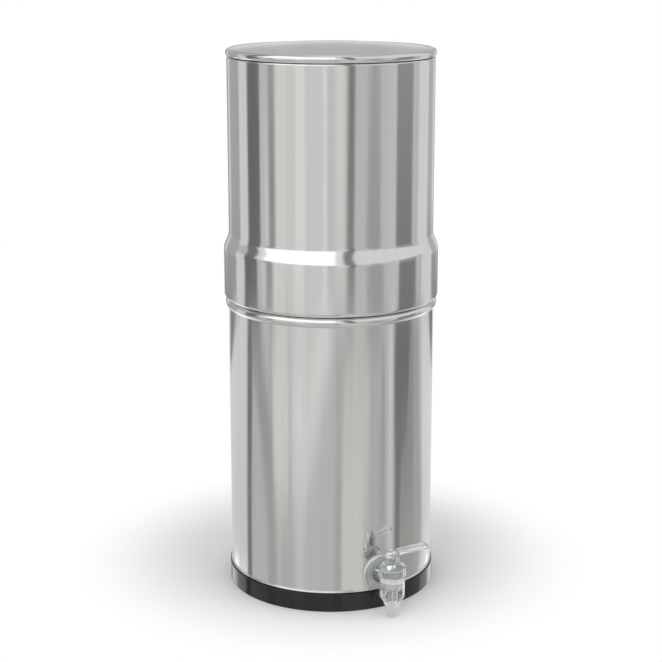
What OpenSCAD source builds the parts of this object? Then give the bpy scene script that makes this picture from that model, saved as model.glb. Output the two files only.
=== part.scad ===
// Gravity water filter: two stacked sheet-steel chambers with candles inside and a spring-cup tap.
// Origin at the middle of the base ring's underside, +Z up, the tap points along -Y.

/* [Sheet steel] */
// Thickness of the chamber and lid sheet
sheet_t = 0.8; // [0.6:0.1:1.2]
// Gap between welded or bonded pieces
bond_gap = 0.05; // [0.02:0.01:0.1]
// Gap between pieces that rest on one another and lift off
rest_gap = 0.3; // [0.2:0.05:0.5]

/* [Base ring] */
// Thickness of the base ring's side outside the lower chamber
ring_wall = 2.2; // [2:0.1:5]
// Height of the base ring
ring_h = 19; // [12:0.5:24]
// Thickness of the sole under the chamber wall
sole_t = 3; // [2:0.5:5]
// How far the sole reaches in under the floor
sole_reach = 16; // [8:1:30]
// Radius of the ring's rounded edges
ring_round = 1; // [0.4:0.1:1]

/* [Lower chamber] */
// Outer diameter of the lower chamber
lower_od = 210; // [206:0.5:211]
// Height of the stop bead's underside above the ground
bead_z = 294.8; // [200:0.5:340]
// Height of the stop bead
bead_h = 9.2; // [6:0.2:11]
// How far the stop bead stands out of the wall
bead_out = 2.95; // [1.5:0.05:3]
// Height of the neck above the stop bead
neck_h = 40; // [24:1:44]
// How far the neck is set in from the wall
neck_step = 1.4; // [1.2:0.1:5]
// Outer radius of the rolled rim of the neck
neck_roll_r = 1.8; // [1.4:0.1:2.4]
// Height of the foot bead just above the base ring
foot_h = 2.4; // [1.6:0.2:3]
// How far the foot bead stands out of the wall
foot_out = 1.3; // [0.8:0.1:1.6]
// Height of the lower floor above the sole
lower_floor_lift = 5; // [3:0.5:9]
// Height of the turned-up rim of both floors
floor_rim_h = 5; // [3:0.5:8]

/* [Upper chamber] */
// How far the upper tube is set in from the lower chamber's wall
tube_step = 1.25; // [1:0.05:3]
// How far the collar stands out from the lower chamber's wall
collar_out = 3.95; // [3.75:0.05:6]
// Height of the collar below the flare
collar_h = 49.5; // [45:0.5:60]
// Height of the flare
flare_h = 17.9; // [12:0.5:24]
// Height of the upper tube above the flare
tube_h = 174.3; // [160:0.5:220]
// Outer radius of the collar's turned-in lip
lip_r = 3.6; // [2.4:0.2:3.6]
// Gap between the lip and the neck inside it
neck_gap = 0.6; // [0.4:0.1:1]
// Width of the folded hem at the mouth
hem_w = 1.8; // [1.2:0.1:2.4]
// Depth of the folded hem at the mouth
hem_h = 4; // [3:0.5:6]

/* [Lid] */
// How far the lid's rolled rim stands out from the upper tube
lid_out = 1.15; // [0.5:0.05:2.5]
// Height of the lid's rolled rim
lid_roll_h = 8.6; // [6:0.2:9]
// Step from the top of the rolled rim down to the edge of the lid's top
lid_step = 0.6; // [0.4:0.1:1.5]
// Rise of the lid's domed top from its edge to its middle
lid_dome = 5.5; // [1:0.1:7]
// Depth of the locating skirt below the rim
skirt_h = 7; // [4:0.5:10]
// Gap between the skirt and the hem
skirt_gap = 1; // [0.6:0.1:1.6]

/* [Candles] */
// Outer diameter of a ceramic candle
candle_od = 50; // [44:1:52]
// Length of a ceramic candle
candle_h = 130; // [110:1:145]
// Wall of a ceramic candle
candle_wall = 7; // [5:0.5:9]
// Distance of the candles and plugs from the middle, as a share of the lower chamber's radius
candle_pitch_share = 0.495; // [0.47:0.005:0.52]
// Diameter of a candle's base cup
cup_od = 54; // [53:0.5:58]
// Height of a candle's base cup
cup_h = 12; // [9:0.5:16]
// Thickness of the base cup's bottom
cup_floor = 2.4; // [2:0.2:4]
// Diameter of the threaded stem under a candle or plug
spout_d = 12; // [10:0.5:12]
// Length of the threaded stem
spout_h = 27; // [24:1:30]
// Bore of the threaded stem
spout_bore = 6; // [4:0.5:7]
// Diameter of the holes in the upper floor
floor_hole_d = 12.7; // [12.4:0.1:14]
// Outer diameter of the candle seals
seal_od = 26; // [20:1:30]
// Thickness of the candle and plug seals
seal_t = 3; // [2:0.5:4]
// Diameter of the head of a blanking plug
plug_head_d = 24; // [20:1:28]
// Height of the head of a blanking plug
plug_head_h = 6; // [4:0.5:8]

/* [Wing nuts] */
// Diameter of a wing nut's hub
nut_hub_d = 18; // [16:0.5:22]
// Height of a wing nut's hub
nut_hub_h = 8; // [6:0.5:10]
// Distance across the wings
wing_span = 38; // [32:1:44]
// Height of the wings
wing_h = 12; // [9:0.5:14]
// Thickness of the wings
wing_t = 3; // [2:0.5:4]
// Gap between the wings and the floor above them
wing_drop = 1.5; // [1:0.25:3]
// Turn of the wings about their stem
wing_turn = 25; // [0:5:90]

/* [Tap body] */
// Height of the tap's shank above the ground
shank_z = 38; // [37:0.5:60]
// Distance of the tap's upright axis from the chamber wall
tap_out = 27; // [25:0.5:32]
// Width across the flats of the octagonal barrel
barrel_af = 23.8; // [22.6:0.1:25]
// Depth of the octagon below the shank's axis
barrel_drop = 20; // [16:0.5:22]
// Height of the octagon above the shank's axis
barrel_rise = 3; // [2:0.25:4]
// Height of the round band over the octagon
band_h = 3.6; // [3.4:0.1:5]
// Diameter of the round band over the octagon
band_d = 23; // [22.4:0.1:23.4]
// Height of the threaded neck above the band
tap_neck_h = 6; // [4:0.5:8]
// Diameter of the threaded neck above the band
tap_neck_d = 21.6; // [21:0.1:22]
// Diameter of the valve chamber
valve_d = 16.6; // [15.6:0.1:17]
// Depth of the valve chamber's bottom below the shank's axis
valve_drop = 8; // [7:0.5:10]
// Height of the seat above the valve chamber's bottom
seat_h = 1.5; // [1:0.25:2]
// Outer diameter of the raised seat
seat_d = 12; // [10.5:0.5:12.5]
// Height of the tapered part below the octagon
taper_h = 8; // [6:0.5:10]
// Diameter at the top of the tapered part
taper_d = 19.2; // [17:0.2:20]
// Step from the nozzle's ribs out to the tapered part
taper_step = 0.3; // [0.2:0.1:0.6]
// Height of the ribbed nozzle
nozzle_h = 7.5; // [5:0.5:7.5]
// Diameter of the ribbed nozzle
nozzle_d = 11.4; // [10.6:0.1:12]
// Bore of the outlet
outlet_d = 7.6; // [6:0.2:8]
// Number of ribs round the nozzle
nozzle_ribs = 14; // [8:1:18]
// Radius of a nozzle rib
nozzle_rib_r = 0.8; // [0.5:0.1:1]
// Height of the corner cuts under the octagon
lower_chamfer = 4.4; // [2:0.2:6]
// Height of the corner cuts over the octagon
upper_chamfer = 4; // [2:0.2:6]

/* [Tap mounting] */
// Diameter of the threaded shank
shank_d = 15.6; // [14:0.2:16]
// Chamfer at the end of the shank
shank_chamfer = 1.2; // [0.6:0.2:2]
// Reach of the shank inside the chamber wall
shank_in = 22; // [20:0.5:28]
// Bore of the shank
shank_bore = 8.4; // [6:0.2:9]
// Diameter of the hole in the chamber wall
wall_hole_d = 16.2; // [16.1:0.1:18]
// Diameter of the tap's flange
flange_d = 34; // [28:0.5:35]
// Thickness of the tap's flange
flange_t = 3.2; // [2.4:0.2:4]
// Width of the raised rim round the flange
flange_rim_w = 3; // [2:0.2:4]
// Depth of the dished face inside the flange's rim
flange_dish = 1.4; // [0.6:0.1:1.8]
// Diameter of the side arm where it leaves the flange
arm_root_d = 20; // [16:0.5:22]
// Length of the flare between the flange and the side arm
arm_flare = 4.5; // [3:0.5:6]
// Diameter of the side arm between the flare and the barrel
arm_end_d = 12.8; // [12:0.2:13]
// Outer diameter of the outer washer
outer_washer_d = 33; // [28:0.5:34]
// Thickness of the outer washer at its middle
outer_washer_t = 2.4; // [1.6:0.2:3]
// Outer diameter of the inner washer
inner_washer_d = 30; // [26:0.5:32]
// Thickness of the inner washer at its middle
inner_washer_t = 3; // [2:0.2:4]
// Width across the flats of the shank nut
shank_nut_af = 24; // [22:0.5:28]
// Thickness of the shank nut
shank_nut_t = 6; // [4:0.5:8]

/* [Bonnet and lever] */
// Diameter of the bonnet
bonnet_d = 27.6; // [26:0.2:29]
// Height of the bonnet's round side
bonnet_h = 10; // [9.4:0.1:12]
// Radius of the rounded edge over the bonnet's side
bonnet_round = 1.6; // [0.8:0.1:2]
// Height of the sloping shoulder over the bonnet's side
shoulder_h = 2.7; // [2:0.1:4]
// Diameter of the shoulder's flat top
shoulder_d = 17.6; // [16:0.2:19]
// Diameter of the spigot that the collar turns on
spigot_d = 10.4; // [10:0.1:10.8]
// Height of the spigot
spigot_h = 5.8; // [5:0.1:7]
// Diameter of the valve stem
stem_d = 6; // [5.4:0.1:6]
// Thickness of the flat tongue on top of the stem
tongue_t = 5; // [4:0.1:5]
// Diametral clearance of parts that turn or slide
run_gap = 0.12; // [0.08:0.02:0.2]
// Diameter of the knurled swivel collar
swivel_d = 14.6; // [14:0.1:15.6]
// Open gap under the swivel collar
swivel_gap = 0.8; // [0.4:0.1:1.2]
// Wall of the swivel collar's top
swivel_top_t = 1; // [0.8:0.1:1.4]
// Number of flutes round the swivel collar
swivel_flutes = 20; // [12:1:24]
// Diameter of the lever's hub
hub_d = 15; // [13.8:0.1:15.2]
// Height of the lever's hub without its dome
hub_side_h = 3.6; // [3.4:0.1:4.4]
// Height of the dome on the lever's hub
hub_dome_h = 3.4; // [3:0.1:4.5]
// Height of the pin above the hub's flat underside
pin_rise = 2.6; // [2.2:0.1:2.8]
// Diameter of the lever pin
pin_d = 2; // [1.6:0.1:2.2]
// Length of the lever pin
pin_len = 13; // [10:0.2:13.4]
// Length of the lever from the stem's axis to its tip
lever_len = 41; // [34:0.5:46]
// Thickness of the lever's arm
lever_t = 4.6; // [2.8:0.1:5]
// Height of the arm's underside above the hub's underside
lever_lift = 0.75; // [0.7:0.05:1.6]
// Rise of the lever's arm from the hub to its tip
lever_rise = 1.2; // [1:0.1:4]
// Angle that the lever tips through when it is pressed
lever_tilt = 28; // [20:1:28]
// Width of the lever's arm beside the hub
lever_root_w = 8.6; // [7:0.2:10]
// Width of the lever's arm at its tip
lever_tip_w = 11; // [9:0.2:13]
// Number of ridges across the lever's arm
ridge_count = 8; // [4:1:10]
// Distance from one ridge to the next
ridge_pitch = 3; // [2.4:0.1:3.2]
// Radius of a ridge
ridge_r = 0.6; // [0.4:0.1:0.8]
// Distance from the stem's axis to the first ridge
ridge_start = 12; // [10:0.5:14]
// Bare edge beside the ridges
ridge_margin = 0.9; // [0.5:0.1:1.4]

/* [Seat cup] */
// Thickness of the seat cup's clamped rim
cup_rim_t = 1.5; // [1.2:0.1:2]
// Outer diameter of the seat cup's closed end
cup_end_d = 13.4; // [13:0.1:13.8]
// Outer diameter of the seat cup's tube
cup_tube_d = 11; // [10.4:0.1:11.6]
// Height of the seat cup's closed end
cup_end_h = 5; // [4.4:0.1:5.4]
// Thickness of rubber below the stem's foot
cup_sole_t = 1.6; // [1.2:0.1:2]
// Diameter of the stem's foot
foot_d = 9.6; // [8.8:0.1:9.8]
// Thickness of the stem's foot
foot_t = 1.8; // [1.4:0.1:2.2]

/* [Hidden] */
$fn = 96;
wall_fn = 360;

// Overrun of every cut past the face that it opens
over = 1;
steel = "#b9babb";
inner_steel = "#a6a8a9";
rubber_black = "#2b2c2d";
clear_plastic = "#d5dfe2";
white_silicone = "#eef0ee";
ceramic = "#f1ece0";
carbon = "#26262a";
cup_plastic = "#e4e6ea";
pin_steel = "#c9ccd0";

// Radius of the arc that stands out by rise over a chord of the given height
function arc_r(chord, rise) = (pow(chord / 2, 2) + pow(rise, 2)) / (2 * rise);

// Smooth step from 0 to 1 as t goes from 0 to 1
function ease(t) = (1 - cos(180 * t)) / 2;

// Lower chamber, worked out from its outer diameter
lower_r = lower_od / 2;
lower_in_r = lower_r - sheet_t;
ring_r = lower_r + bond_gap + ring_wall;
foot_z = ring_h + bond_gap;
foot_arc_r = arc_r(foot_h, foot_out);
bead_arc_r = arc_r(bead_h, bead_out);
bead_mid_z = bead_z + bead_h / 2;
bead_top_z = bead_mid_z + bead_arc_r;
neck_r = lower_r - neck_step;
neck_top_z = bead_top_z + neck_h;
neck_roll_z = neck_top_z - neck_roll_r;
neck_mouth_r = neck_r - 2 * neck_roll_r;
lower_floor_z = sole_t + lower_floor_lift;

// Upper chamber, stacked on the stop bead
lip_z = bead_top_z + rest_gap;
collar_r = lower_r + collar_out;
lip_mid_r = collar_r - lip_r;
lip_mid_z = lip_z + lip_r;
upper_r = lower_r - tube_step;
upper_in_r = upper_r - sheet_t;
flare_z = lip_z + collar_h;
flare_top_z = flare_z + flare_h;
mouth_z = flare_top_z + tube_h;
upper_floor_z = flare_top_z + rest_gap;
upper_floor_top_z = upper_floor_z + sheet_t;
flare_steps = 14;
hem_r = (sheet_t + hem_w) / 2;
hem_mid_r = upper_r - hem_r;
hem_mid_z = mouth_z - hem_r;

// Lid, whose rolled rim rests on the round edge of the hem
lid_roll_r = lid_roll_h / 2;
lid_flat_r = upper_r + lid_out - lid_roll_r;
lid_roll_z = hem_mid_z + sqrt(pow(lid_roll_r + hem_r + rest_gap, 2) - pow(hem_mid_r - lid_flat_r, 2));
lid_edge_z = lid_roll_z + lid_roll_r - lid_step;
skirt_r = hem_mid_r - hem_r - skirt_gap;
dome_steps = 8;

// Candles and plugs, standing on the upper floor
seal_z = upper_floor_top_z + bond_gap;
cup_z = seal_z + seal_t + bond_gap;
shell_z = cup_z + cup_floor + bond_gap;
candle_r = candle_od / 2;
candle_pitch_r = lower_r * candle_pitch_share;
core_r = candle_r - candle_wall - bond_gap;
cup_in_r = candle_r + bond_gap;
spout_r = spout_d / 2;
nut_top_z = upper_floor_z - bond_gap;

// Tap heights, built up and down from the shank's axis
tap_y = -(lower_r + tap_out);
octagon_z = shank_z - barrel_drop;
octagon_top_z = shank_z + barrel_rise;
band_top_z = octagon_top_z + band_h;
tap_neck_top_z = band_top_z + tap_neck_h;
taper_z = octagon_z - taper_h;
nozzle_z = taper_z - nozzle_h;
valve_z = shank_z - valve_drop;
seat_z = valve_z + seat_h;
barrel_r = barrel_af / 2 / cos(180 / 8);
flange_back_y = -(lower_r + outer_washer_t + 2 * bond_gap);
shank_end_y = -(lower_in_r - shank_in);

// Bonnet, collar and lever heights
bonnet_z = band_top_z + rest_gap / 2;
bonnet_top_z = bonnet_z + bonnet_h;
shoulder_top_z = bonnet_top_z + shoulder_h;
ceiling_z = tap_neck_top_z + cup_rim_t + 2 * bond_gap;
spigot_top_z = shoulder_top_z + spigot_h;
swivel_z = shoulder_top_z + swivel_gap;
swivel_top_z = spigot_top_z + bond_gap + swivel_top_t;
hub_z = swivel_top_z + rest_gap / 2;
pin_z = hub_z + pin_rise;
hub_r = hub_d / 2;
stem_r = stem_d / 2;
slot_w = tongue_t + run_gap;
slot_back = stem_r + run_gap;
slot_depth = pin_rise + over + slot_back;
flat_z = pin_z - pin_rise - hub_r * sin(lever_tilt) - run_gap;
arm_z = hub_z + lever_lift;
arm_steps = 12;

// Seat cup and the stem's foot inside it
cup_bottom_z = seat_z + bond_gap;
foot_bottom_z = cup_bottom_z + cup_sole_t + bond_gap;

// Rectangle between two radii in the revolve's plane
module section(r_in, r_out, z, h) {
    translate([r_in, z]) square([r_out - r_in, h]);
}

// Disc in the revolve's plane
module spot(mid_r, mid_z, r) {
    translate([mid_r, mid_z]) circle(r = r);
}

// Ring about the Z axis
module ring(r_in, r_out, z, h) {
    rotate_extrude() section(r_in, r_out, z, h);
}

// Puts a piece drawn along +Z from zero onto the shank's axis, from y outward
module along_shank(y) {
    translate([0, y, shank_z]) rotate([90, 0, 0]) children();
}

module at_tap() {
    translate([0, tap_y, 0]) children();
}

module at_candle(side) {
    translate([side * candle_pitch_r, 0, 0]) children();
}

module at_plug(side) {
    translate([0, side * candle_pitch_r, 0]) children();
}

module base_ring() {
    wall_in_r = lower_r + bond_gap;
    edge_r = ring_r - ring_round;
    color(rubber_black) rotate_extrude() union() {
        section(wall_in_r, edge_r, 0, ring_h);
        section(wall_in_r, ring_r, ring_round, ring_h - 2 * ring_round);
        spot(edge_r, ring_round, ring_round);
        spot(edge_r, ring_h - ring_round, ring_round);
        section(lower_r - sole_reach, edge_r, 0, sole_t);
    }
}

// Section inside the lower chamber's outer face, from its foot to the rolled rim
module lower_outer_section() {
    section(0, lower_r, sole_t, bead_mid_z - sole_t);
    spot(lower_r + foot_out - foot_arc_r, foot_z + foot_h / 2, foot_arc_r);
    spot(lower_r + bead_out - bead_arc_r, bead_mid_z, bead_arc_r);
    section(0, neck_r, bead_mid_z, neck_roll_z - bead_mid_z);
    spot(neck_r - neck_roll_r, neck_roll_z, neck_roll_r);
}

// Section of the space inside the lower chamber's sheet
module lower_inner_section() {
    section(0, lower_in_r, sole_t - over, bead_mid_z - sole_t + over);
    spot(lower_r + bead_out - bead_arc_r, bead_mid_z, bead_arc_r - sheet_t);
    section(0, neck_r - sheet_t, bead_mid_z, neck_roll_z - bead_mid_z);
    spot(neck_r - neck_roll_r, neck_roll_z, neck_roll_r - sheet_t);
    section(0, neck_mouth_r, neck_roll_z - over, neck_roll_r + 2 * over);
}

module lower_chamber_shell() {
    color(steel) difference() {
        rotate_extrude() difference() {
            union() lower_outer_section();
            union() lower_inner_section();
        }
        along_shank(-(lower_r - over) + sheet_t) cylinder(d = wall_hole_d, h = sheet_t + 2 * over);
    }
}

// Flat floor with a turned-up rim
module floor_pan(r, z) {
    ring(0, r, z, sheet_t);
    ring(r - sheet_t, r, z, sheet_t + floor_rim_h);
}

module lower_chamber_floor() {
    color(inner_steel) floor_pan(lower_in_r - bond_gap, lower_floor_z);
}

// Section inside the upper chamber's outer face, set in by the given sheet
module upper_section(inset) {
    section(0, lip_mid_r, lip_z + inset, lip_r - inset);
    spot(lip_mid_r, lip_mid_z, lip_r - inset);
    section(0, collar_r - inset, lip_mid_z, flare_z - lip_mid_z);
    polygon(concat(
        [[0, flare_top_z], [0, flare_z]],
        [for (i = [0 : flare_steps]) [
            collar_r - inset + (upper_r - collar_r) * ease(i / flare_steps),
            flare_z + flare_h * i / flare_steps
        ]]
    ));
}

module upper_chamber_shell() {
    color(steel) rotate_extrude() difference() {
        union() {
            upper_section(0);
            section(0, upper_r, flare_top_z, hem_mid_z - flare_top_z);
            spot(hem_mid_r, hem_mid_z, hem_r);
        }
        union() {
            section(0, neck_r + neck_gap, lip_z - over, sheet_t + 2 * over);
            upper_section(sheet_t);
            section(0, upper_in_r, flare_top_z, tube_h - hem_h);
            section(0, hem_mid_r - hem_r, mouth_z - hem_h - over, hem_h + 2 * over);
            section(0, hem_mid_r, hem_mid_z + hem_r, over);
        }
    }
}

module upper_chamber_floor() {
    color(inner_steel) difference() {
        floor_pan(upper_in_r - bond_gap, upper_floor_z);
        for (turn = [0 : 90 : 270]) {
            rotate([0, 0, turn]) translate([candle_pitch_r, 0, upper_floor_z - over])
                cylinder(d = floor_hole_d, h = sheet_t + 2 * over);
        }
    }
}

// Height of the lid's top sheet above its edge, at a share of its radius
function dome_z(share) = lid_edge_z + lid_dome * (1 - pow(share, 2));

module lid() {
    color(steel) {
        rotate_extrude() polygon(concat(
            [for (i = [0 : dome_steps]) [
                lid_flat_r * i / dome_steps, dome_z(i / dome_steps)
            ]],
            [for (i = [dome_steps : -1 : 0]) [
                lid_flat_r * i / dome_steps, dome_z(i / dome_steps) - sheet_t
            ]]
        ));
        rotate_extrude() spot(lid_flat_r, lid_roll_z, lid_roll_r);
        ring(skirt_r - sheet_t, skirt_r, mouth_z - skirt_h, lid_roll_z - mouth_z + skirt_h);
    }
}

// Round-topped column standing on the bottom of a candle's cup
module domed_column(r) {
    translate([0, 0, shell_z]) cylinder(r = r, h = candle_h - candle_r);
    translate([0, 0, shell_z + candle_h - candle_r]) sphere(r = r);
}

module candle_shell(side) {
    color(ceramic) at_candle(side) difference() {
        union() domed_column(candle_r);
        domed_column(candle_r - candle_wall);
        translate([0, 0, shell_z - over]) cylinder(r = candle_r - candle_wall, h = 2 * over);
    }
}

module candle_core(side) {
    color(carbon) at_candle(side) domed_column(core_r);
}

// Threaded stem that hangs below a candle or plug
module spout() {
    translate([0, 0, cup_z - spout_h]) cylinder(r = spout_r, h = spout_h);
}

module candle_base(side) {
    color(cup_plastic) at_candle(side) difference() {
        union() {
            translate([0, 0, cup_z]) cylinder(d = cup_od, h = cup_h);
            spout();
        }
        translate([0, 0, cup_z + cup_floor]) cylinder(r = cup_in_r, h = cup_h);
        translate([0, 0, cup_z - spout_h - over]) cylinder(d = spout_bore, h = spout_h + cup_floor + 2 * over);
    }
}

module floor_seal(d) {
    color(white_silicone) ring(spout_r + bond_gap, d / 2, seal_z, seal_t);
}

module wing_nut() {
    wing_top_z = nut_top_z - wing_drop;
    tip_r = wing_h / 2;
    color(cup_plastic) difference() {
        union() {
            translate([0, 0, nut_top_z - nut_hub_h]) cylinder(d = nut_hub_d, h = nut_hub_h);
            rotate([90, 0, wing_turn]) linear_extrude(height = wing_t, center = true) {
                for (side = [-1, 1]) {
                    translate([side * (wing_span / 2 - tip_r), wing_top_z - tip_r]) circle(r = tip_r);
                }
                translate([tip_r - wing_span / 2, wing_top_z - wing_h]) square([wing_span - wing_h, wing_h]);
            }
        }
        translate([0, 0, cup_z - spout_h - over]) cylinder(r = spout_r + bond_gap, h = spout_h);
    }
}

module blanking_plug(side) {
    head_arc_r = arc_r(plug_head_d, plug_head_h / 2);
    color(cup_plastic) at_plug(side) {
        translate([0, 0, cup_z]) intersection() {
            cylinder(d = plug_head_d, h = plug_head_h);
            translate([0, 0, plug_head_h - head_arc_r]) sphere(r = head_arc_r);
        }
        spout();
    }
}

// Height of a corner cut where it has run past the octagon's corners
function cut_h(chamfer, in_r) = chamfer * (barrel_r + over - in_r) / (barrel_r - in_r);

// Octagonal barrel with its corners cut away above and below
module octagon_barrel() {
    cut_r = barrel_r + over;
    intersection() {
        translate([0, 0, octagon_z]) rotate([0, 0, 180 / 8])
            cylinder(r = barrel_r, h = octagon_top_z - octagon_z, $fn = 8);
        rotate_extrude() polygon([
            [0, octagon_z], [taper_d / 2, octagon_z],
            [cut_r, octagon_z + cut_h(lower_chamfer, taper_d / 2)],
            [cut_r, octagon_top_z - cut_h(upper_chamfer, band_d / 2)],
            [band_d / 2, octagon_top_z], [0, octagon_top_z]
        ]);
    }
}

// Ribbed nozzle, whose top runs on into the tapered part
module nozzle() {
    rib_mid_r = nozzle_d / 2 - nozzle_rib_r;
    translate([0, 0, nozzle_z]) linear_extrude(height = nozzle_h + taper_h / 8) {
        circle(r = rib_mid_r);
        for (i = [0 : nozzle_ribs - 1]) {
            rotate(360 * i / nozzle_ribs) translate([rib_mid_r, 0]) circle(r = nozzle_rib_r, $fn = 24);
        }
    }
}

// Round parts above and below the octagon, as one revolve
module barrel_core() {
    rotate_extrude() {
        polygon([
            [0, taper_z], [nozzle_d / 2 + taper_step, taper_z], [taper_d / 2, octagon_z],
            [0, octagon_z]
        ]);
        section(0, band_d / 2 - bond_gap, octagon_z, band_top_z - octagon_z);
        section(0, tap_neck_d / 2, octagon_z, tap_neck_top_z - octagon_z);
    }
}

// Shank, flange and side arm as one revolve, drawn from the back of the flange
module shank_and_arm() {
    flange_r = flange_d / 2;
    rim_mid_r = flange_r - flange_rim_w / 2;
    shank_len = shank_end_y - flange_back_y;
    arm_len = flange_back_y - flange_t - tap_y - valve_d / 2 + over;
    rotate_extrude() {
        section(0, flange_r, 0, flange_t - flange_rim_w / 2);
        section(0, rim_mid_r, 0, flange_t - flange_dish);
        spot(rim_mid_r, flange_t - flange_rim_w / 2, flange_rim_w / 2);
        polygon([
            [0, 0], [shank_d / 2, 0], [shank_d / 2, shank_chamfer - shank_len],
            [shank_d / 2 - shank_chamfer, -shank_len], [0, -shank_len]
        ]);
        polygon([
            [0, 0], [arm_root_d / 2, 0], [arm_root_d / 2, flange_t],
            [arm_end_d / 2, flange_t + arm_flare], [arm_end_d / 2, flange_t + arm_len],
            [0, flange_t + arm_len]
        ]);
    }
}

// Valve chamber round the raised seat, and the outlet below it
module valve_section() {
    section(seat_d / 2, valve_d / 2, valve_z, tap_neck_top_z - valve_z + over);
    section(0, valve_d / 2, seat_z, tap_neck_top_z - seat_z + over);
    section(0, outlet_d / 2, nozzle_z - over, seat_z - nozzle_z + 2 * over);
}

module tap_body() {
    color(clear_plastic) difference() {
        union() {
            at_tap() {
                octagon_barrel();
                barrel_core();
                nozzle();
            }
            along_shank(flange_back_y) shank_and_arm();
        }
        at_tap() rotate_extrude() valve_section();
        along_shank(shank_end_y + over) cylinder(d = shank_bore, h = shank_end_y + over - tap_y);
    }
}

module tap_outer_washer() {
    color(white_silicone) difference() {
        along_shank(-lower_r / 2) cylinder(d = outer_washer_d, h = lower_r / 2 + outer_washer_t + bond_gap);
        cylinder(r = lower_r + bond_gap, h = 2 * shank_z, $fn = wall_fn);
        along_shank(-lower_r / 2) cylinder(d = shank_d + 2 * bond_gap, h = lower_r);
    }
}

module tap_inner_washer() {
    face_y = -(lower_in_r - bond_gap - inner_washer_t);
    color(white_silicone) difference() {
        intersection() {
            along_shank(face_y) cylinder(d = inner_washer_d, h = lower_r);
            cylinder(r = lower_in_r - bond_gap, h = 2 * shank_z, $fn = wall_fn);
        }
        along_shank(face_y + over) cylinder(d = shank_d + 2 * bond_gap, h = lower_r);
    }
}

module tap_shank_nut() {
    face_y = -(lower_in_r - 2 * bond_gap - inner_washer_t) + shank_nut_t;
    color(cup_plastic) along_shank(face_y) difference() {
        cylinder(d = shank_nut_af / cos(180 / 6), h = shank_nut_t, $fn = 6);
        translate([0, 0, -over]) cylinder(d = shank_d + 2 * bond_gap, h = shank_nut_t + 2 * over);
    }
}

module tap_bonnet() {
    bonnet_r = bonnet_d / 2;
    edge_r = bonnet_r - bonnet_round;
    color(clear_plastic) at_tap() rotate_extrude() difference() {
        union() {
            section(0, bonnet_r, bonnet_z, bonnet_h - bonnet_round);
            section(0, edge_r, bonnet_z, bonnet_h);
            spot(edge_r, bonnet_top_z - bonnet_round, bonnet_round);
            polygon([
                [0, bonnet_top_z], [edge_r, bonnet_top_z],
                [shoulder_d / 2, shoulder_top_z], [0, shoulder_top_z]
            ]);
            section(0, spigot_d / 2, shoulder_top_z, spigot_h);
        }
        section(0, tap_neck_d / 2 + bond_gap, bonnet_z - over, ceiling_z - bonnet_z + over);
        section(0, (stem_d + run_gap) / 2, bonnet_z, spigot_top_z - bonnet_z + over);
    }
}

module seat_cup() {
    stem_hole_r = stem_r + bond_gap;
    foot_hole_r = foot_d / 2 + bond_gap;
    rim_z = tap_neck_top_z + bond_gap;
    color(white_silicone) at_tap() rotate_extrude() difference() {
        union() {
            section(0, cup_end_d / 2, cup_bottom_z, cup_end_h);
            section(0, cup_tube_d / 2, cup_bottom_z, rim_z - cup_bottom_z);
            section(0, tap_neck_d / 2, rim_z, cup_rim_t);
        }
        section(0, foot_hole_r, foot_bottom_z - bond_gap, foot_t + 2 * bond_gap);
        section(0, stem_hole_r, foot_bottom_z, rim_z + cup_rim_t + over - foot_bottom_z);
    }
}

module swivel_collar() {
    swivel_r = swivel_d / 2;
    flute_r = PI * swivel_d / swivel_flutes / 4;
    color(clear_plastic) at_tap() difference() {
        rotate_extrude() difference() {
            section(0, swivel_r, swivel_z, swivel_top_z - swivel_z);
            section(0, (spigot_d + run_gap) / 2, swivel_z - over, spigot_top_z + bond_gap - swivel_z + over);
            section(0, (stem_d + run_gap) / 2, swivel_z, swivel_top_z - swivel_z + over);
        }
        for (i = [0 : swivel_flutes - 1]) {
            rotate([0, 0, 360 * i / swivel_flutes]) translate([swivel_r + flute_r / 2, 0, swivel_z - over])
                cylinder(r = flute_r, h = swivel_top_z - swivel_z + 2 * over, $fn = 24);
        }
    }
}

// Bar through the stem and lever, along Y at the pin's height
module cross_bar(d, length) {
    translate([0, length / 2, pin_z]) rotate([90, 0, 0]) cylinder(d = d, h = length);
}

module tap_stem() {
    cheek = (stem_d - tongue_t) / 2 + over;
    color(cup_plastic) at_tap() difference() {
        union() {
            translate([0, 0, foot_bottom_z]) cylinder(d = foot_d, h = foot_t);
            translate([0, 0, foot_bottom_z]) cylinder(r = stem_r, h = pin_z - foot_bottom_z);
            cross_bar(stem_d, tongue_t);
        }
        for (side = [-1, 1]) {
            translate([-stem_d, side * (tongue_t + cheek) / 2 - cheek / 2, flat_z])
                cube([2 * stem_d, cheek, pin_z + stem_d - flat_z]);
        }
        cross_bar(pin_d + 2 * bond_gap, stem_d);
    }
}

module lever_pin() {
    color(pin_steel) at_tap() cross_bar(pin_d, pin_len);
}

// Half width of the lever's arm at a share of its length
function arm_half_w(share) = (lever_root_w + (lever_tip_w - lever_root_w) * share) / 2;

// Height of the arm's underside at a share of its length
function arm_under_z(share) = arm_z + lever_rise * ease(share);

module lever_arm() {
    tip_r = lever_tip_w / 2;
    neck_x = lever_len - tip_r;
    intersection() {
        translate([0, lever_tip_w, 0]) rotate([90, 0, 0]) linear_extrude(height = 2 * lever_tip_w)
            polygon(concat(
                [for (i = [0 : arm_steps]) [lever_len * i / arm_steps, arm_under_z(i / arm_steps)]],
                [for (i = [arm_steps : -1 : 0]) [
                    lever_len * i / arm_steps, arm_under_z(i / arm_steps) + lever_t
                ]]
            ));
        translate([0, 0, hub_z]) linear_extrude(height = pin_rise + lever_t + lever_rise + hub_dome_h) {
            polygon([
                [0, -arm_half_w(0)], [neck_x, -tip_r], [neck_x, tip_r], [0, arm_half_w(0)]
            ]);
            translate([neck_x, 0]) circle(r = tip_r);
        }
    }
}

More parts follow.
